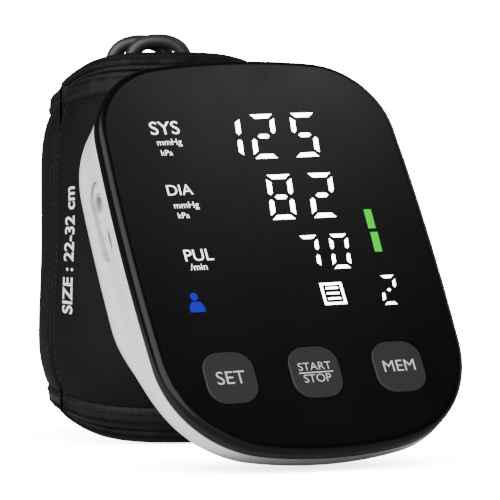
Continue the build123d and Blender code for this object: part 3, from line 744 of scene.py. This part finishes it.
@dataclass
class LitDisplay:
    """What shines through the panel: figures, unit words, signs and the level bars."""

    face: FaceFrame
    out: float = 0.03
    slant: float = 0.133
    gap: float = 0.42
    weight: float = 0.002
    figures: tuple[Digit, ...] = (
        Digit("1", -13.85, 34.5, 8.9, 17.1, 1.65),
        Digit("2", -1.3, 34.5, 8.9, 17.1, 1.65),
        Digit("5", 13.6, 34.5, 9.1, 17.1, 1.65),
        Digit("8", -1.3, 11.1, 9.0, 17.0, 1.65),
        Digit("2", 13.6, 11.1, 9.0, 17.0, 1.65),
        Digit("7", 4.8, -8.3, 6.7, 12.9, 1.25),
        Digit("0", 15.7, -8.3, 6.7, 12.9, 1.25),
        Digit("2", 30.0, -22.7, 5.4, 10.9, 1.05),
    )
    labels: tuple[Label, ...] = (
        Label("SYS", -35.6, 47.6, 10.3),
        Label("mmHg", -34.4, 41.8, 8.8),
        Label("kPa", -33.9, 38.1, 4.0),
        Label("DIA", -35.4, 23.9, 9.0),
        Label("mmHg", -34.4, 17.8, 8.8),
        Label("kPa", -33.9, 14.3, 4.0),
        Label("PUL", -35.4, -0.6, 10.0),
        Label("/min", -34.4, -4.9, 5.9),
    )

    def plate(self, name: str, shapes: Sequence[Sequence[Point]], finish: Finish) -> bpy.types.Object:
        """Flat shapes on the face, as one mesh.

        Args:
            name: name of the piece.
            shapes: outlines in millimetres.
            finish: material.

        Returns:
            The piece.
        """
        points, faces = [], []
        for shape in shapes:
            area = sum(a[0] * b[1] - b[0] * a[1] for a, b in zip(shape, (*shape[1:], shape[0])))
            ordered = shape if area > 0 else tuple(reversed(shape))
            faces.append(range(len(points), len(points) + len(ordered)))
            points += [self.face.at(u, v, self.out) for u, v in ordered]
        return new_piece(name, points, faces, finish, smooth=False)

    def digit(self, digit: Digit) -> list[list[Point]]:
        """The outlines of one slanted figure."""
        shapes = []
        for segment in FIGURES[digit.figure]:
            shape = []
            for wide, high, right, up, gap_u, gap_v in segment.value:
                u = wide * digit.wide + right * digit.stroke + gap_u * self.gap
                v = high * digit.high + up * digit.stroke + gap_v * self.gap
                shape.append((digit.left + u + v * self.slant, digit.bottom + v))
            shapes.append(shape)
        return shapes

    def words(self, name: str, labels: Sequence[Label], finish: Finish, body: str) -> bpy.types.Object:
        """Printed words as one flat mesh.

        Args:
            name: name of the piece.
            labels: the words.
            finish: material.
            body: the CAD body it rides on.

        Returns:
            The piece.
        """
        work = bmesh.new()
        for label in labels:
            mesh = text_mesh(label.text, self.weight)
            low, high = mesh_span(mesh, 0)
            bottom, top = mesh_span(mesh, 1)
            scale = label.wide * MM / (high - low)
            shift = -(low + high) / 2 if label.centred else -low
            fit = Matrix.Scale(scale, 4) @ Matrix.Translation((shift, -(bottom + top) / 2, 0))
            mesh.transform(self.face.matrix(label.u, label.v, self.out) @ fit)
            work.from_mesh(mesh)
            bpy.data.meshes.remove(mesh)
        mesh = bpy.data.meshes.new(name)
        work.to_mesh(mesh)
        work.free()
        mesh.materials.append(finish.made())
        piece = bpy.data.objects.new(name, mesh)
        bpy.context.scene.collection.objects.link(piece)
        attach(piece, body)
        return piece

    def page_sign(self) -> list[list[Point]]:
        """A page with three lines, for the stored readings."""
        low_u, high_u, low_v, high_v, rim = 9.1, 17.0, -21.5, -13.4, 0.85
        frame = [
            [(low_u, low_v), (high_u, low_v), (high_u, low_v + rim), (low_u, low_v + rim)],
            [(low_u, high_v - rim), (high_u, high_v - rim), (high_u, high_v), (low_u, high_v)],
            [(low_u, low_v), (low_u + rim, low_v), (low_u + rim, high_v), (low_u, high_v)],
            [(high_u - rim, low_v), (high_u, low_v), (high_u, high_v), (high_u - rim, high_v)],
        ]
        rows = [low_v + 1.85 + 1.95 * step for step in range(3)]
        left, right, thick = low_u + 1.7, high_u - 1.7, 0.75
        lines = [[(left, r), (right, r), (right, r + thick), (left, r + thick)] for r in rows]
        return frame + lines

    def user_sign(self) -> list[list[Point]]:
        """A head and shoulders, for the chosen user."""
        turns = [math.tau * k / 20 for k in range(20)]
        head = [(-35.9 + 1.35 * math.cos(a), -15.7 + 1.5 * math.sin(a)) for a in turns]
        chest = [(-38.4, -21.4), (-33.1, -21.4), (-33.1, -19.4), (-34.3, -17.5), (-37.2, -17.5), (-38.4, -19.4)]
        return [head, chest]

    def build(self) -> list[bpy.types.Object]:
        """Make every lit piece."""
        shapes = [shape for digit in self.figures for shape in self.digit(digit)]
        made = [
            self.plate("reading_figures", shapes + self.page_sign(), Finish.WHITE_LIGHT),
            self.plate("user_sign", self.user_sign(), Finish.BLUE_LIGHT),
            self.plate(
                "level_bars",
                [
                    [(32.5, 6.1), (35.2, 6.1), (35.4, 13.4), (32.7, 13.4)],
                    [(32.4, -2.8), (35.1, -2.8), (35.4, 4.7), (32.7, 4.7)],
                ],
                Finish.GREEN_LIGHT,
            ),
        ]
        for piece in made:
            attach(piece, "monitor")
        made.append(self.words("unit_words", self.labels, Finish.WORD_LIGHT, "monitor"))
        return made


def text_mesh(text: str, weight: float) -> bpy.types.Mesh:
    """A word as a flat mesh, one unit tall.

    Args:
        text: the word.
        weight: how far its outline is moved out, to make it bolder.

    Returns:
        The mesh.
    """
    curve = bpy.data.curves.new("word", "FONT")
    curve.body = text
    curve.offset = weight
    curve.resolution_u = 6
    piece = bpy.data.objects.new("word", curve)
    bpy.context.scene.collection.objects.link(piece)
    graph = bpy.context.evaluated_depsgraph_get()
    mesh = bpy.data.meshes.new_from_object(piece.evaluated_get(graph), depsgraph=graph)
    bpy.data.objects.remove(piece)
    return mesh


def mesh_span(mesh: bpy.types.Mesh, axis: int) -> tuple[float, float]:
    """Lowest and highest coordinate of a mesh along an axis."""
    values = [v.co[axis] for v in mesh.vertices]
    return min(values), max(values)


@dataclass
class MonitorCase:
    """Finishes of the case, its keys and what it holds."""

    frame: dict
    face: FaceFrame
    key_out: float = 0.43
    key_v: float = -45.5
    finishes: tuple[tuple[Finish, tuple[str, ...]], ...] = (
        (Finish.PANEL, ("front_cover",)),
        (Finish.TRIM, ("trim_ring",)),
        (Finish.CASE, ("rear_housing",)),
        (Finish.KEY, ("set_key", "start_stop_key", "memory_key")),
        (Finish.SOCKET, ("air_jack",)),
        (Finish.RUBBER, ("rubber_feet",)),
        (Finish.DOOR, ("battery_door",)),
        (Finish.INNER, ("display_module", "battery_tray", "tact_switches", "pump_head", "release_valve")),
        (Finish.FITTING, ("air_cross", "pressure_sensor", "hose_elbow", "hose_plug")),
        (Finish.STEEL, ("case_screws", "battery_contacts", "pump_motor", "power_port", "metal_bar")),
        (Finish.BOARD, ("main_board",)),
        (Finish.CELL, ("batteries",)),
        (Finish.TUBE, ("air_tubes",)),
        (Finish.NYLON, ("bar_tape",)),
    )

    def dress(self) -> None:
        """Give every carried-over CAD node its finish."""
        for finish, names in self.finishes:
            for name in names:
                piece = self.frame["nodes"][name]
                piece.data.materials.clear()
                piece.data.materials.append(finish.made())
                LOG.info("%s: %s", name, finish.value.name)

    def label_keys(self, display: LitDisplay) -> list[bpy.types.Object]:
        """Print the three keys; the print glows as painted light.

        Args:
            display: lends its way of setting words.

        Returns:
            The printed pieces.
        """
        v = self.key_v
        words = {
            "set_key": (Label("SET", -30.8, v - 0.1, 9.9, True),),
            "start_stop_key": (Label("START", -1.0, v + 2.0, 11.6, True), Label("STOP", -1.0, v - 2.3, 9.6, True)),
            "memory_key": (Label("MEM", 28.8, v + 0.2, 11.2, True),),
        }
        printer = LitDisplay(display.face, out=self.key_out, weight=-0.003)
        made = []
        for body, labels in words.items():
            # The key words glow as painted light.
            made.append(printer.words(body + "_word", labels, Finish.GLOWING_KEY_PRINT, body))
        line = [[(-7.0, v - 0.45), (5.0, v - 0.45), (5.0, v - 0.05), (-7.0, v - 0.05)]]
        bar = printer.plate("start_stop_line", line, Finish.GLOWING_KEY_PRINT)
        made.append(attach(bar, "start_stop_key"))
        return made


# ---------------------------------------------------------------- the hose
@dataclass
class AirHose:
    """The hose, folded into the roll, with its two loops above the rim."""

    frame: dict
    diameter: float = 5.0
    turn: float = 22.93
    # across the hank, towards its back, height
    route: tuple[tuple[float, float, float], ...] = (
        (-21.0, 6.0, 34.0),
        (-21.0, 6.0, 62.0),
        (-21.7, 6.3, 92.0),
        (-21.2, 5.7, 117.0),
        (-22.2, 5.3, 139.4),
        (-0.4, 5.0, 139.7),
        (-0.8, 5.0, 117.0),
        (2.4, 5.6, 88.0),
        (8.0, 6.2, 57.0),
        (13.2, 5.8, 30.0),
        (12.4, 2.6, 7.5),
        (-12.6, -6.2, 7.5),
        (-16.6, -7.0, 30.0),
        (-16.8, -6.0, 60.0),
        (-15.4, -4.2, 91.0),
        (-14.0, -2.8, 118.0),
        (-15.2, -2.2, 139.8),
        (6.2, -2.2, 139.6),
        (5.2, -2.8, 117.0),
        (6.4, -4.8, 88.0),
        (8.0, -7.0, 58.0),
        (8.4, -8.0, 27.0),
    )

    def centre(self) -> Vector:
        """The roll's axis, from the upper binding's box."""
        low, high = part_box("upper_binding")
        return Vector(((low.x + high.x) / 2, (low.y + high.y) / 2, 0))

    def build(self) -> bpy.types.Object:
        angle = math.radians(self.turn)
        side = Vector((math.cos(angle), -math.sin(angle), 0))
        back = Vector((math.sin(angle), math.cos(angle), 0))
        points = [self.centre() + (side * s + back * b) * MM + Vector((0, 0, z * MM)) for s, b, z in self.route]
        curve = bpy.data.curves.new("air_hose_line", "CURVE")
        curve.dimensions = "3D"
        curve.bevel_depth = self.diameter / 2 * MM
        curve.bevel_resolution = 5
        curve.use_fill_caps = True
        line = curve.splines.new("NURBS")
        line.points.add(len(points) - 1)
        for spot, point in zip(line.points, points):
            spot.co = (*point, 1.0)
        line.order_u = 3
        line.use_endpoint_u = True
        line.resolution_u = 12
        curve.materials.append(Finish.HOSE.made())
        hose = bpy.data.objects.new("hose", curve)
        bpy.context.scene.collection.objects.link(hose)
        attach(hose, "cuff")
        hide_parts("air_hose")
        return hose


# ---------------------------------------------------------------- the rolled cuff
@dataclass(frozen=True)
class Layer:
    """One layer of the roll: radii and heights of its free edges, in millimetres, and its angles."""

    inner: float
    outer: float
    low: float
    high: float
    start: float = 0.0
    span: float = 360.0
    thin: float = 0.74  # share of the thickness that is lost at the free edges

    @property
    def closed(self) -> bool:
        """Whether the layer goes all the way round."""
        return self.span >= 360.0


@dataclass
class RolledCuff:
    """The band, rolled up and stood on its edge, with its bindings, seams and closing flap."""

    frame: dict
    front: float = 247.0  # angle of the roll's front, seen from the usual side
    arch_top: float = 9.6  # how far the upper edge draws in at the roll's sides
    arch_bottom: float = 7.0  # the same for the lower edge
    seam: float = 185.7
    flap_span: float = 58.0
    seam_gap: float = 0.2
    binding: float = 6.5
    inner: Layer = Layer(33.0, 40.0, 0.0, 135.0, thin=0.12)
    tail: Layer = Layer(40.15, 46.0, 5.0, 128.5)
    bulge: float = 1.3
    waves: float = 0.95  # slow swells of the cloth, in millimetres, as are the next three
    folds: float = 0.62
    puckers: float = 0.80
    pulls: float = 0.75

    def __post_init__(self) -> None:
        """Find the roll's axis."""
        low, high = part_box("upper_binding")
        self.axis = Vector(((low.x + high.x) / 2, (low.y + high.y) / 2, 0))

    def lift(self, angle: float, share: float) -> float:
        """How far a height is drawn in: share is -1 at the top edge and 1 at the bottom edge."""
        turned = abs(math.sin(math.radians(angle - self.front)))
        return share * (self.arch_top * turned**4 if share < 0 else self.arch_bottom * turned**3.5)

    def pinch(self, layer: Layer, height: float) -> float:
        """How much thinner a layer is near its free edges, in millimetres."""
        near = max(0.0, min(height - layer.low, layer.high - height))
        return (layer.outer - layer.inner) * layer.thin * math.exp(-((near / 13.0) ** 2))

    def spot(self, angle: float, radius: float, height: float) -> Vector:
        """A point of the roll, from degrees and millimetres."""
        share = 1.0 - 2.0 * min(1.0, max(0.0, height / self.inner.high))
        turn = math.radians(angle)
        way = Vector((math.cos(turn), math.sin(turn), 0))
        return self.axis + way * radius * MM + Vector((0, 0, (height + self.lift(angle, share)) * MM))

    def crease(self, angle: float, height: float, top: float, bottom: float, seed: float) -> float:
        """How far the cloth stands off its even radius, in millimetres.

        Args:
            angle: degrees round the roll.
            height: millimetres over the floor.
            top: height of the upper seam.
            bottom: height of the lower seam.
            seed: picks one pattern.

        Returns:
            The offset.
        """
        arc = math.radians(angle) * 46.0
        slow = noise.noise(Vector((arc / 34.0, height / 52.0, seed)))
        fold = noise.noise(Vector((arc / 11.0, height / 30.0, seed + 5.0)))
        pucker = noise.noise(Vector((arc / 4.2, height / 60.0, seed + 9.0)))
        near = min(abs(height - bottom), abs(top - height))
        edge = math.exp(-near / 5.5)
        seam = math.exp(-abs((angle - self.seam + 180) % 360 - 180) / 5.0)
        pull = noise.noise(Vector((height / 5.0, arc / 60.0, seed + 13.0)))
        creased = self.waves * slow + self.folds * fold
        return creased + self.puckers * edge * pucker + self.pulls * seam * pull

    def swell(self, angle: float, height: float) -> float:
        """The lower part of the seam's side stands a little further out."""
        away = (angle - 172.0 + 180) % 360 - 180
        return self.bulge * math.exp(-((away / 34.0) ** 2)) * math.exp(-(((height - 34.0) / 30.0) ** 2))

    def sweep(
        self, name: str, layer: Layer, profile: Callable[[float], list[Point]], finish: Finish,
        step: float = 1.0, rounding: float = 2.2,
    ) -> bpy.types.Object:
        """Carry a closed profile round the roll.

        Args:
            name: name of the piece.
            layer: gives the angles.
            profile: gives (radius, height) points at an angle, always as many.
            finish: material.
            step: degrees between sections.
            rounding: millimetres over which a free end is rounded.

        Returns:
            The piece, with flat coordinates in metres.
        """
        count = max(8, round(layer.span / step))
        angles = [layer.start + layer.span * k / count for k in range(count + (0 if layer.closed else 1))]
        middle = math.radians(1.0) * (layer.inner + layer.outer) / 2
        points: list[Vector] = []
        around: list[list[Point]] = []
        for angle in angles:
            ring = profile(angle)
            if not layer.closed:
                near = min(angle - layer.start, layer.start + layer.span - angle) * middle
                share = math.sqrt(max(0.0, 1 - max(0.0, 1 - near / rounding) ** 2))
                centre = (layer.inner + layer.outer) / 2
                ring = [(centre + (r - centre) * (0.12 + 0.88 * share), z) for r, z in ring]
            around.append(ring)
            points += [self.spot(angle, r, z) for r, z in ring]
        size = len(around[0])
        runs = len(angles) if layer.closed else len(angles) - 1
        faces, flats = [], []
        lengths = [0.0]
        for (r0, z0), (r1, z1) in zip(around[0], around[0][1:] + around[0][:1]):
            lengths.append(lengths[-1] + math.hypot(r1 - r0, z1 - z0))
        for k in range(runs):
            here, there = k * size, (k + 1) % len(angles) * size
            for j in range(size):
                after = (j + 1) % size
                faces.append((here + j, here + after, there + after, there + j))
                arc = [(layer.start + layer.span * (k + s) / count) * middle * MM for s in (0, 1)]
                run = [lengths[j] * MM, lengths[j + 1] * MM]
                flats += [(arc[0], run[0]), (arc[0], run[1]), (arc[1], run[1]), (arc[1], run[0])]
        if not layer.closed:
            last = (len(angles) - 1) * size
            faces.append(tuple(range(size - 1, -1, -1)))
            faces.append(tuple(last + j for j in range(size)))
            flats += [(r * MM, z * MM) for r, z in reversed(around[0])]
            flats += [(r * MM, z * MM) for r, z in around[-1]]
        piece = new_piece(name, points, faces, finish)
        chart = piece.data.uv_layers.new(name="flat")
        chart.data.foreach_set("uv", [c for pair in flats for c in pair])
        return piece

    def body_profile(self, layer: Layer, seed: float, rows: int = 46) -> Callable[[float], list[Point]]:
        """Section of a quilted cloth body between its two seams.

        Args:
            layer: its radii and edges.
            seed: picks the creases.
            rows: rows of its outer face.

        Returns:
            The profile for sweep.
        """
        bottom, top = layer.low + self.binding, layer.high - self.binding
        tuck = 3.0

        def section(angle: float) -> list[Point]:
            """The section at one angle."""
            ring = []
            for k in range(rows + 1):
                z = bottom - tuck + (top - bottom + 2 * tuck) * k / rows
                near = min(z - bottom, top - z)
                groove = 0.95 * math.exp(-max(0.0, near) / 1.5) if near > 0 else 0.95 + 0.25 * min(tuck, -near)
                puff = 0.55 * (1 - math.exp(-max(0.0, near) / 9.0))
                crease = self.crease(angle, z, top, bottom, seed) * min(1.0, max(0.0, near) / 2.5)
                wide = self.swell(angle, z) if layer.outer > 44 else 0.0
                ring.append((layer.outer - 0.45 - groove + puff + 0.8 * crease + wide - self.pinch(layer, z), z))
            inside = 8
            for k in range(inside + 1):
                z = top + tuck - (top - bottom + 2 * tuck) * k / inside
                ring.append((layer.inner + 0.35, z))
            return ring

        return section

    def binding_profile(self, layer: Layer, upper: bool) -> Callable[[float], list[Point]]:
        """Section of a tape folded over a free edge.

        Args:
            layer: its radii and edges.
            upper: whether it is the upper edge.

        Returns:
            The profile for sweep.
        """
        thick = layer.outer - layer.inner
        high = self.binding
        # height over the seam as a share, offset from the outer face in millimetres
        outside = (
            (-0.16, -1.5), (-0.06, -0.95), (0.0, -0.55), (0.05, -0.15), (0.12, 0.0), (0.2, 0.02), (0.26, -0.12),
            (0.3, -0.42), (0.34, -0.34), (0.4, -0.14), (0.5, -0.12), (0.62, -0.3), (0.74, -0.62), (0.84, -1.1),
            (0.92, -1.75), (0.975, -2.5), (1.0, -0.5 * thick),
        )
        inside = ((0.975, -thick + 1.6), (0.92, -thick + 0.9), (0.8, -thick + 0.45), (0.6, -thick + 0.2),
                  (0.3, -thick + 0.1), (-0.16, -thick + 0.1))

        def section(angle: float) -> list[Point]:
            """The section at one angle."""
            ring = []
            for share, off in (*outside, *inside):
                z = layer.high - high + share * high if upper else layer.low + high - share * high
                wave = noise.noise(Vector((math.radians(angle) * 9.0, z / 9.0, 3.0 if upper else 7.0)))
                wide = self.swell(angle, z) if layer.outer > 44 else 0.0
                pinch = self.pinch(layer, z)
                radius = layer.outer - pinch + off * (thick - pinch) / thick
                ring.append((radius + 0.22 * wave + wide * (1 if off > -thick / 2 else 0), z))
            return ring

        return section

    def edge_path(self, layer: Layer, z: float, out: float, step: float = 1.0, trim: float = 0.6) -> list[Vector]:
        """Points along a free edge at one height, for stitches and ribs."""
        count = round(layer.span / step)
        start = layer.start + (0 if layer.closed else trim)
        span = layer.span - (0 if layer.closed else 2 * trim)
        spots = []
        for k in range(count + 1):
            angle = start + span * k / count
            wide = self.swell(angle, z) if layer.outer > 44 else 0.0
            spots.append(self.spot(angle, layer.outer + out + wide - self.pinch(layer, z), z))
        return spots

    def band(self, name: str, layer: Layer, seed: float, body: str, sew: PathRepeat) -> dict[str, bpy.types.Object]:
        """A whole layer: cloth body, two bindings, their ribs and stitches.

        Args:
            name: start of the pieces' names.
            layer: its radii, edges and angles.
            seed: picks the creases.
            body: the CAD body it rides on.
            sew: lays stitches and ribs.

        Returns:
            The pieces by kind.
        """
        made = {"body": self.sweep(name + "_cloth", layer, self.body_profile(layer, seed), Finish.NYLON)}
        for kind, upper in (("upper", True), ("lower", False)):
            section = self.binding_profile(layer, upper)
            made[kind] = self.sweep(f"{name}_{kind}_tape", layer, section, Finish.TAPE, rounding=0.35)
        for piece in made.values():
            outward(piece)
        bottom, top = layer.low + self.binding, layer.high - self.binding
        stitch_rows = [self.edge_path(layer, z, 0.02) for z in (bottom - 1.0, top + 1.0)]
        made["stitches"] = sew.along(
            name + "_stitches", stitch_rows, 2.6 * MM, 0.22 * MM, 1.9 * MM, 0.0, Finish.THREAD
        )
        rib_rows = [self.edge_path(layer, z, -0.22) for z in (layer.low + 3.0, layer.high - 3.0)]
        made["ribs"] = sew.along(name + "_ribs", rib_rows, 0.72 * MM, 0.2 * MM, 3.0 * MM, 1.0, Finish.TAPE)
        for piece in made.values():
            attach(piece, body)
        return made

    def ring_profile(self, layer: Layer, puff: float = 0.0) -> Callable[[float], list[Point]]:
        """A plain section with rounded corners, for what lies inside the cloth."""

        def section(angle: float) -> list[Point]:
            """The section at one angle."""
            ring = []
            for side, radius in ((1, layer.outer), (-1, layer.inner)):
                for k in range(13):
                    share = k / 12 if side > 0 else 1 - k / 12
                    z = layer.low + (layer.high - layer.low) * share
                    near = min(share, 1 - share) * (layer.high - layer.low)
                    round_off = 0.3 * math.exp(-near / 0.8)
                    wave = noise.noise(Vector((math.radians(angle) * 4.0, z / 20.0, layer.inner)))
                    ring.append((radius - side * round_off + side * puff * wave, z))
            return ring

        return section

    def seam_stitches(self, sew: PathRepeat) -> list[bpy.types.Object]:
        """The upright stitch rows each side of the closing seam."""
        made = []
        bottom, top = self.tail.low + self.binding + 1.0, self.tail.high - self.binding - 1.0
        sides = (
            ("wrap_seam_stitches", self.seam + 3.1, "cuff"),
            ("flap_seam_stitches", self.seam - 3.1, "flap"),
        )
        for name, angle, body in sides:
            path = []
            for k in range(60):
                z = bottom + (top - bottom) * k / 59
                radius = self.tail.outer + self.swell(angle, z) - 0.35
                radius += 0.55 * (1 - math.exp(-min(z - bottom, top - z) / 9.0))
                radius += 0.8 * self.crease(angle, z, top + 1, bottom - 1, 21.0) - self.pinch(self.tail, z)
                path.append(self.spot(angle, radius, z))
            piece = sew.along(name, [path], 2.6 * MM, 0.2 * MM, 1.8 * MM, 0.0, Finish.THREAD)
            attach(piece, body)
            made.append(piece)
        return made

    def hinge_cloth(self) -> bpy.types.Object:
        """The strip of cloth under the seam that the flap turns on."""
        layer = Layer(41.4, 42.0, self.tail.low + 3, self.tail.high - 3, self.seam - 7.0, 14.0)
        piece = self.sweep("hinge_cloth", layer, self.ring_profile(layer), Finish.NYLON, step=0.5, rounding=0.4)
        outward(piece)
        start, end = self.spot(self.seam + 2.0, 41.7, 64.5), self.spot(self.seam - 2.0, 41.7, 64.5)
        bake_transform(piece)
        return piece

    def print_words(self) -> bpy.types.Object:
        """A generic arm-size mark, reading up the band."""
        mesh = text_mesh("SIZE : 22-32 cm", 0.02)
        low, high = mesh_span(mesh, 0)
        bottom, top = mesh_span(mesh, 1)
        work = bmesh.new()
        work.from_mesh(mesh)
        bmesh.ops.subdivide_edges(work, edges=[e for e in work.edges if e.calc_length() > 0.2], cuts=2)
        long = 46.0
        scale = long / (high - low)
        start_z = 43.5
        angle_low = 194.6
        for vertex in work.verts:
            z = start_z + (vertex.co.x - low) * scale
            arc = (top - vertex.co.y) * scale
            angle = angle_low + math.degrees(arc / self.tail.outer)
            radius = self.tail.outer - 0.45 + 0.55 + self.swell(angle, z) + 0.06
            radius += 0.8 * self.crease(angle, z, self.tail.high - self.binding, self.tail.low + self.binding, 21.0)
            vertex.co = self.spot(angle, radius, z)
        work.to_mesh(mesh)
        work.free()
        mesh.materials.clear()
        mesh.materials.append(Finish.PRINT.made())
        piece = bpy.data.objects.new("arm_size_mark", mesh)
        bpy.context.scene.collection.objects.link(piece)
        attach(piece, "cuff")
        return piece

    def build(self, sew: PathRepeat) -> list[bpy.types.Object]:
        """Make the whole roll.

        Args:
            sew: lays stitches and ribs.

        Returns:
            Its pieces.
        """
        wrap = Layer(self.tail.inner, self.tail.outer, self.tail.low, self.tail.high,
                     self.seam + self.seam_gap, 360 - self.flap_span - 2 * self.seam_gap)
        flap = Layer(41.9, self.tail.outer, self.tail.low, self.tail.high,
                     self.seam - self.flap_span + self.seam_gap, self.flap_span - 2 * self.seam_gap)
        inner = self.band("inner_turn", self.inner, 2.0, "cuff", sew)
        outer = self.band("outer_turn", wrap, 21.0, "cuff", sew)
        closing = self.band("closing_flap", flap, 21.0, "flap", sew)
        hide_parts("cuff_shell")
        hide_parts("upper_binding")
        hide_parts("lower_binding")
        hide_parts("outer_wrap")
        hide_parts("wrap_bindings")
        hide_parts("flap")
        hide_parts("flap_bindings")
        plain = (
            ("brushed_lining", Layer(32.75, 33.2, 5.5, 129.5), Finish.LINING, "cuff_lining", "lining", "cuff", 0.0),
            ("air_cell", Layer(35.0, 37.6, 14.0, 121.0, 100.0, 250.0), Finish.FILM,
             "bladder", "bladder_film", "cuff", 0.0),
            ("foam_pad", Layer(35.0, 37.6, 10.0, 125.0, 351.0, 108.0), Finish.PADDING,
             "tail_padding", "padding", "cuff", 0.0),
            ("loop_field", Layer(40.0, 40.8, 14.0, 119.0, self.seam - self.flap_span + 1, self.flap_span - 2),
             Finish.LOOP, "loop_patch", "loop_pile", "cuff", 0.12),
            ("hook_field", Layer(41.1, 42.3, 14.0, 119.0, self.seam - self.flap_span + 1, self.flap_span - 2),
             Finish.HOOK, "hook_patch", "hook_pile", "flap", 0.12),
        )
        made = []
        for name, layer, finish, node, slot, body, puff in plain:
            piece = self.sweep(name, layer, self.ring_profile(layer, puff), finish, step=2.0, rounding=0.6)
            outward(piece)
            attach(piece, body)
            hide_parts(node)
            made.append(piece)
        pieces = [p for band in (inner, outer, closing) for p in band.values()]
        return [*pieces, *made, *self.seam_stitches(sew), self.hinge_cloth(), self.print_words()]


# ---------------------------------------------------------------- the studio
@dataclass
class Studio:
    """Camera, floor and soft lights."""

    face: FaceFrame
    lens: float = 246.9
    offset: tuple[float, float, float] = (-445.93, -1025.86, 38.74)
    tilt: float = 88.0
    turn: float = -22.93
    white: float = 22.0  # strength that shows as plain white
    shadow: float = 0.035

    def camera(self) -> None:
        """Set the camera at the usual angle."""
        data = bpy.data.cameras.new("camera")
        data.lens = self.lens
        data.sensor_width = 36.0
        data.clip_start, data.clip_end = 0.05, 30.0
        camera = bpy.data.objects.new("camera", data)
        bpy.context.scene.collection.objects.link(camera)
        camera.location = self.face.origin + Vector(self.offset) * MM
        camera.rotation_euler = Euler((math.radians(self.tilt), 0, math.radians(self.turn)))
        bpy.context.scene.camera = camera

    def floor(self) -> None:
        """A pale floor that fades into the surroundings; for the camera it glows white with a painted contact
        shadow.
        """
        rings, sides = [0.0, 0.3, 0.8, 1.6], 64
        points = [Vector((0, 0, 0))]
        faces = []
        for ring in rings[1:]:
            points += [
                Vector((ring * math.cos(math.tau * k / sides), ring * math.sin(math.tau * k / sides), 0))
                for k in range(sides)
            ]
        for k in range(sides):
            faces.append((0, 1 + k, 1 + (k + 1) % sides))
            for ring in range(len(rings) - 2):
                a, b = 1 + ring * sides, 1 + (ring + 1) * sides
                faces.append((a + k, b + k, b + (k + 1) % sides, a + (k + 1) % sides))
        sh = Shader("pale floor")
        flat = sh.place()
        across = sh.node("ShaderNodeSeparateXYZ", None, {0: flat}, "X")
        along = sh.node("ShaderNodeSeparateXYZ", None, {0: flat}, "Y")
        away = (across * across + along * along).maths("SQRT")
        fade = away.smooth(0.22, 0.62)
        matt = sh.node("ShaderNodeBsdfDiffuse", None, {"Color": (0.85, 0.85, 0.85)})
        # Painted contact shadow: ambient occlusion dims the floor's glow near the object.
        painted_shadow_openness = sh.node("ShaderNodeAmbientOcclusion", {"samples": 8}, {"Distance": self.shadow}, "AO")
        glow = sh.node("ShaderNodeEmission", None, {"Strength": (painted_shadow_openness * 0.93 + 0.07) * self.white})
        seen = sh.node("ShaderNodeLightPath", out="Is Camera Ray")
        solid = sh.node("ShaderNodeMixShader", None, {0: seen, 1: matt, 2: glow})
        clear = sh.node("ShaderNodeBsdfTransparent", None, {"Color": (1.0, 1.0, 1.0)})
        sh.node_output(sh.node("ShaderNodeMixShader", None, {0: fade, 1: solid, 2: clear}))
        mesh = bpy.data.meshes.new("floor")
        mesh.from_pydata([tuple(p) for p in points], [], faces)
        mesh.materials.append(sh.material)
        floor = bpy.data.objects.new("floor", mesh)
        bpy.context.scene.collection.objects.link(floor)
        floor.location.z = -0.0002

    def surroundings(self) -> None:
        """White behind the object, a softer grey for light and reflections."""
        world = bpy.data.worlds.new("surroundings")
        world.use_nodes = True
        tree = world.node_tree
        tree.nodes.clear()
        seen = tree.nodes.new("ShaderNodeBackground")
        seen.inputs["Color"].default_value = (1, 1, 1, 1)
        seen.inputs["Strength"].default_value = self.white
        soft = tree.nodes.new("ShaderNodeBackground")
        soft.inputs["Color"].default_value = (1.0, 1.0, 1.0, 1)
        soft.inputs["Strength"].default_value = 0.07
        path = tree.nodes.new("ShaderNodeLightPath")
        mix = tree.nodes.new("ShaderNodeMixShader")
        out = tree.nodes.new("ShaderNodeOutputWorld")
        tree.links.new(path.outputs["Is Camera Ray"], mix.inputs[0])
        tree.links.new(soft.outputs[0], mix.inputs[1])
        tree.links.new(seen.outputs[0], mix.inputs[2])
        tree.links.new(mix.outputs[0], out.inputs["Surface"])
        bpy.context.scene.world = world

    def light(self, name: str, place: Point3, aim: Point3, wide: float, high: float, watts: float) -> None:
        """One soft area light.

        Args:
            name: its name.
            place: where it is, in metres.
            aim: what it looks at.
            wide: its width.
            high: its height.
            watts: its power.
        """
        data = bpy.data.lights.new(name, "AREA")
        data.shape = "RECTANGLE"
        data.size, data.size_y = wide, high
        data.energy = watts
        lamp = bpy.data.objects.new(name, data)
        bpy.context.scene.collection.objects.link(lamp)
        lamp.location = place
        lamp.rotation_mode = "QUATERNION"
        lamp.rotation_quaternion = (Vector(aim) - Vector(place)).to_track_quat("-Z", "Y")

    def build(self) -> None:
        """Set everything up."""
        self.camera()
        self.floor()
        self.surroundings()
        self.light("left_softbox", (-1.5, -0.7, 0.85), (-0.02, 0.0, 0.06), 2.3, 2.3, 70.0)
        self.light("front_fill", (-0.35, -1.6, 0.25), (0.0, 0.0, 0.06), 0.9, 0.7, 2.5)
        self.light("top_softbox", (0.44, -0.38, 1.02), (0.0, -0.04, 0.08), 0.2, 0.16, 0.55)
        self.light("right_strip", (0.75, 0.05, 0.42), (0.05, -0.05, 0.08), 0.25, 0.9, 1.2)


def main() -> None:
    """Build every piece around the frame, in order."""
    logging.basicConfig(level=logging.INFO, format="%(message)s")
    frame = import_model()
    face = FaceFrame.found(frame)
    Studio(face).build()
    hose = AirHose(frame).build()
    LOG.info("hose: %s", hose.name)
    case = MonitorCase(frame, face)
    case.dress()
    display = LitDisplay(face)
    for piece in [*display.build(), *case.label_keys(display)]:
        LOG.info("display: %s", piece.name)
    sew = PathRepeat("sewing", 6)
    for piece in RolledCuff(frame).build(sew):
        LOG.info("cuff: %s, %d faces", piece.name, len(piece.data.polygons))


if __name__ == "__main__":
    main()
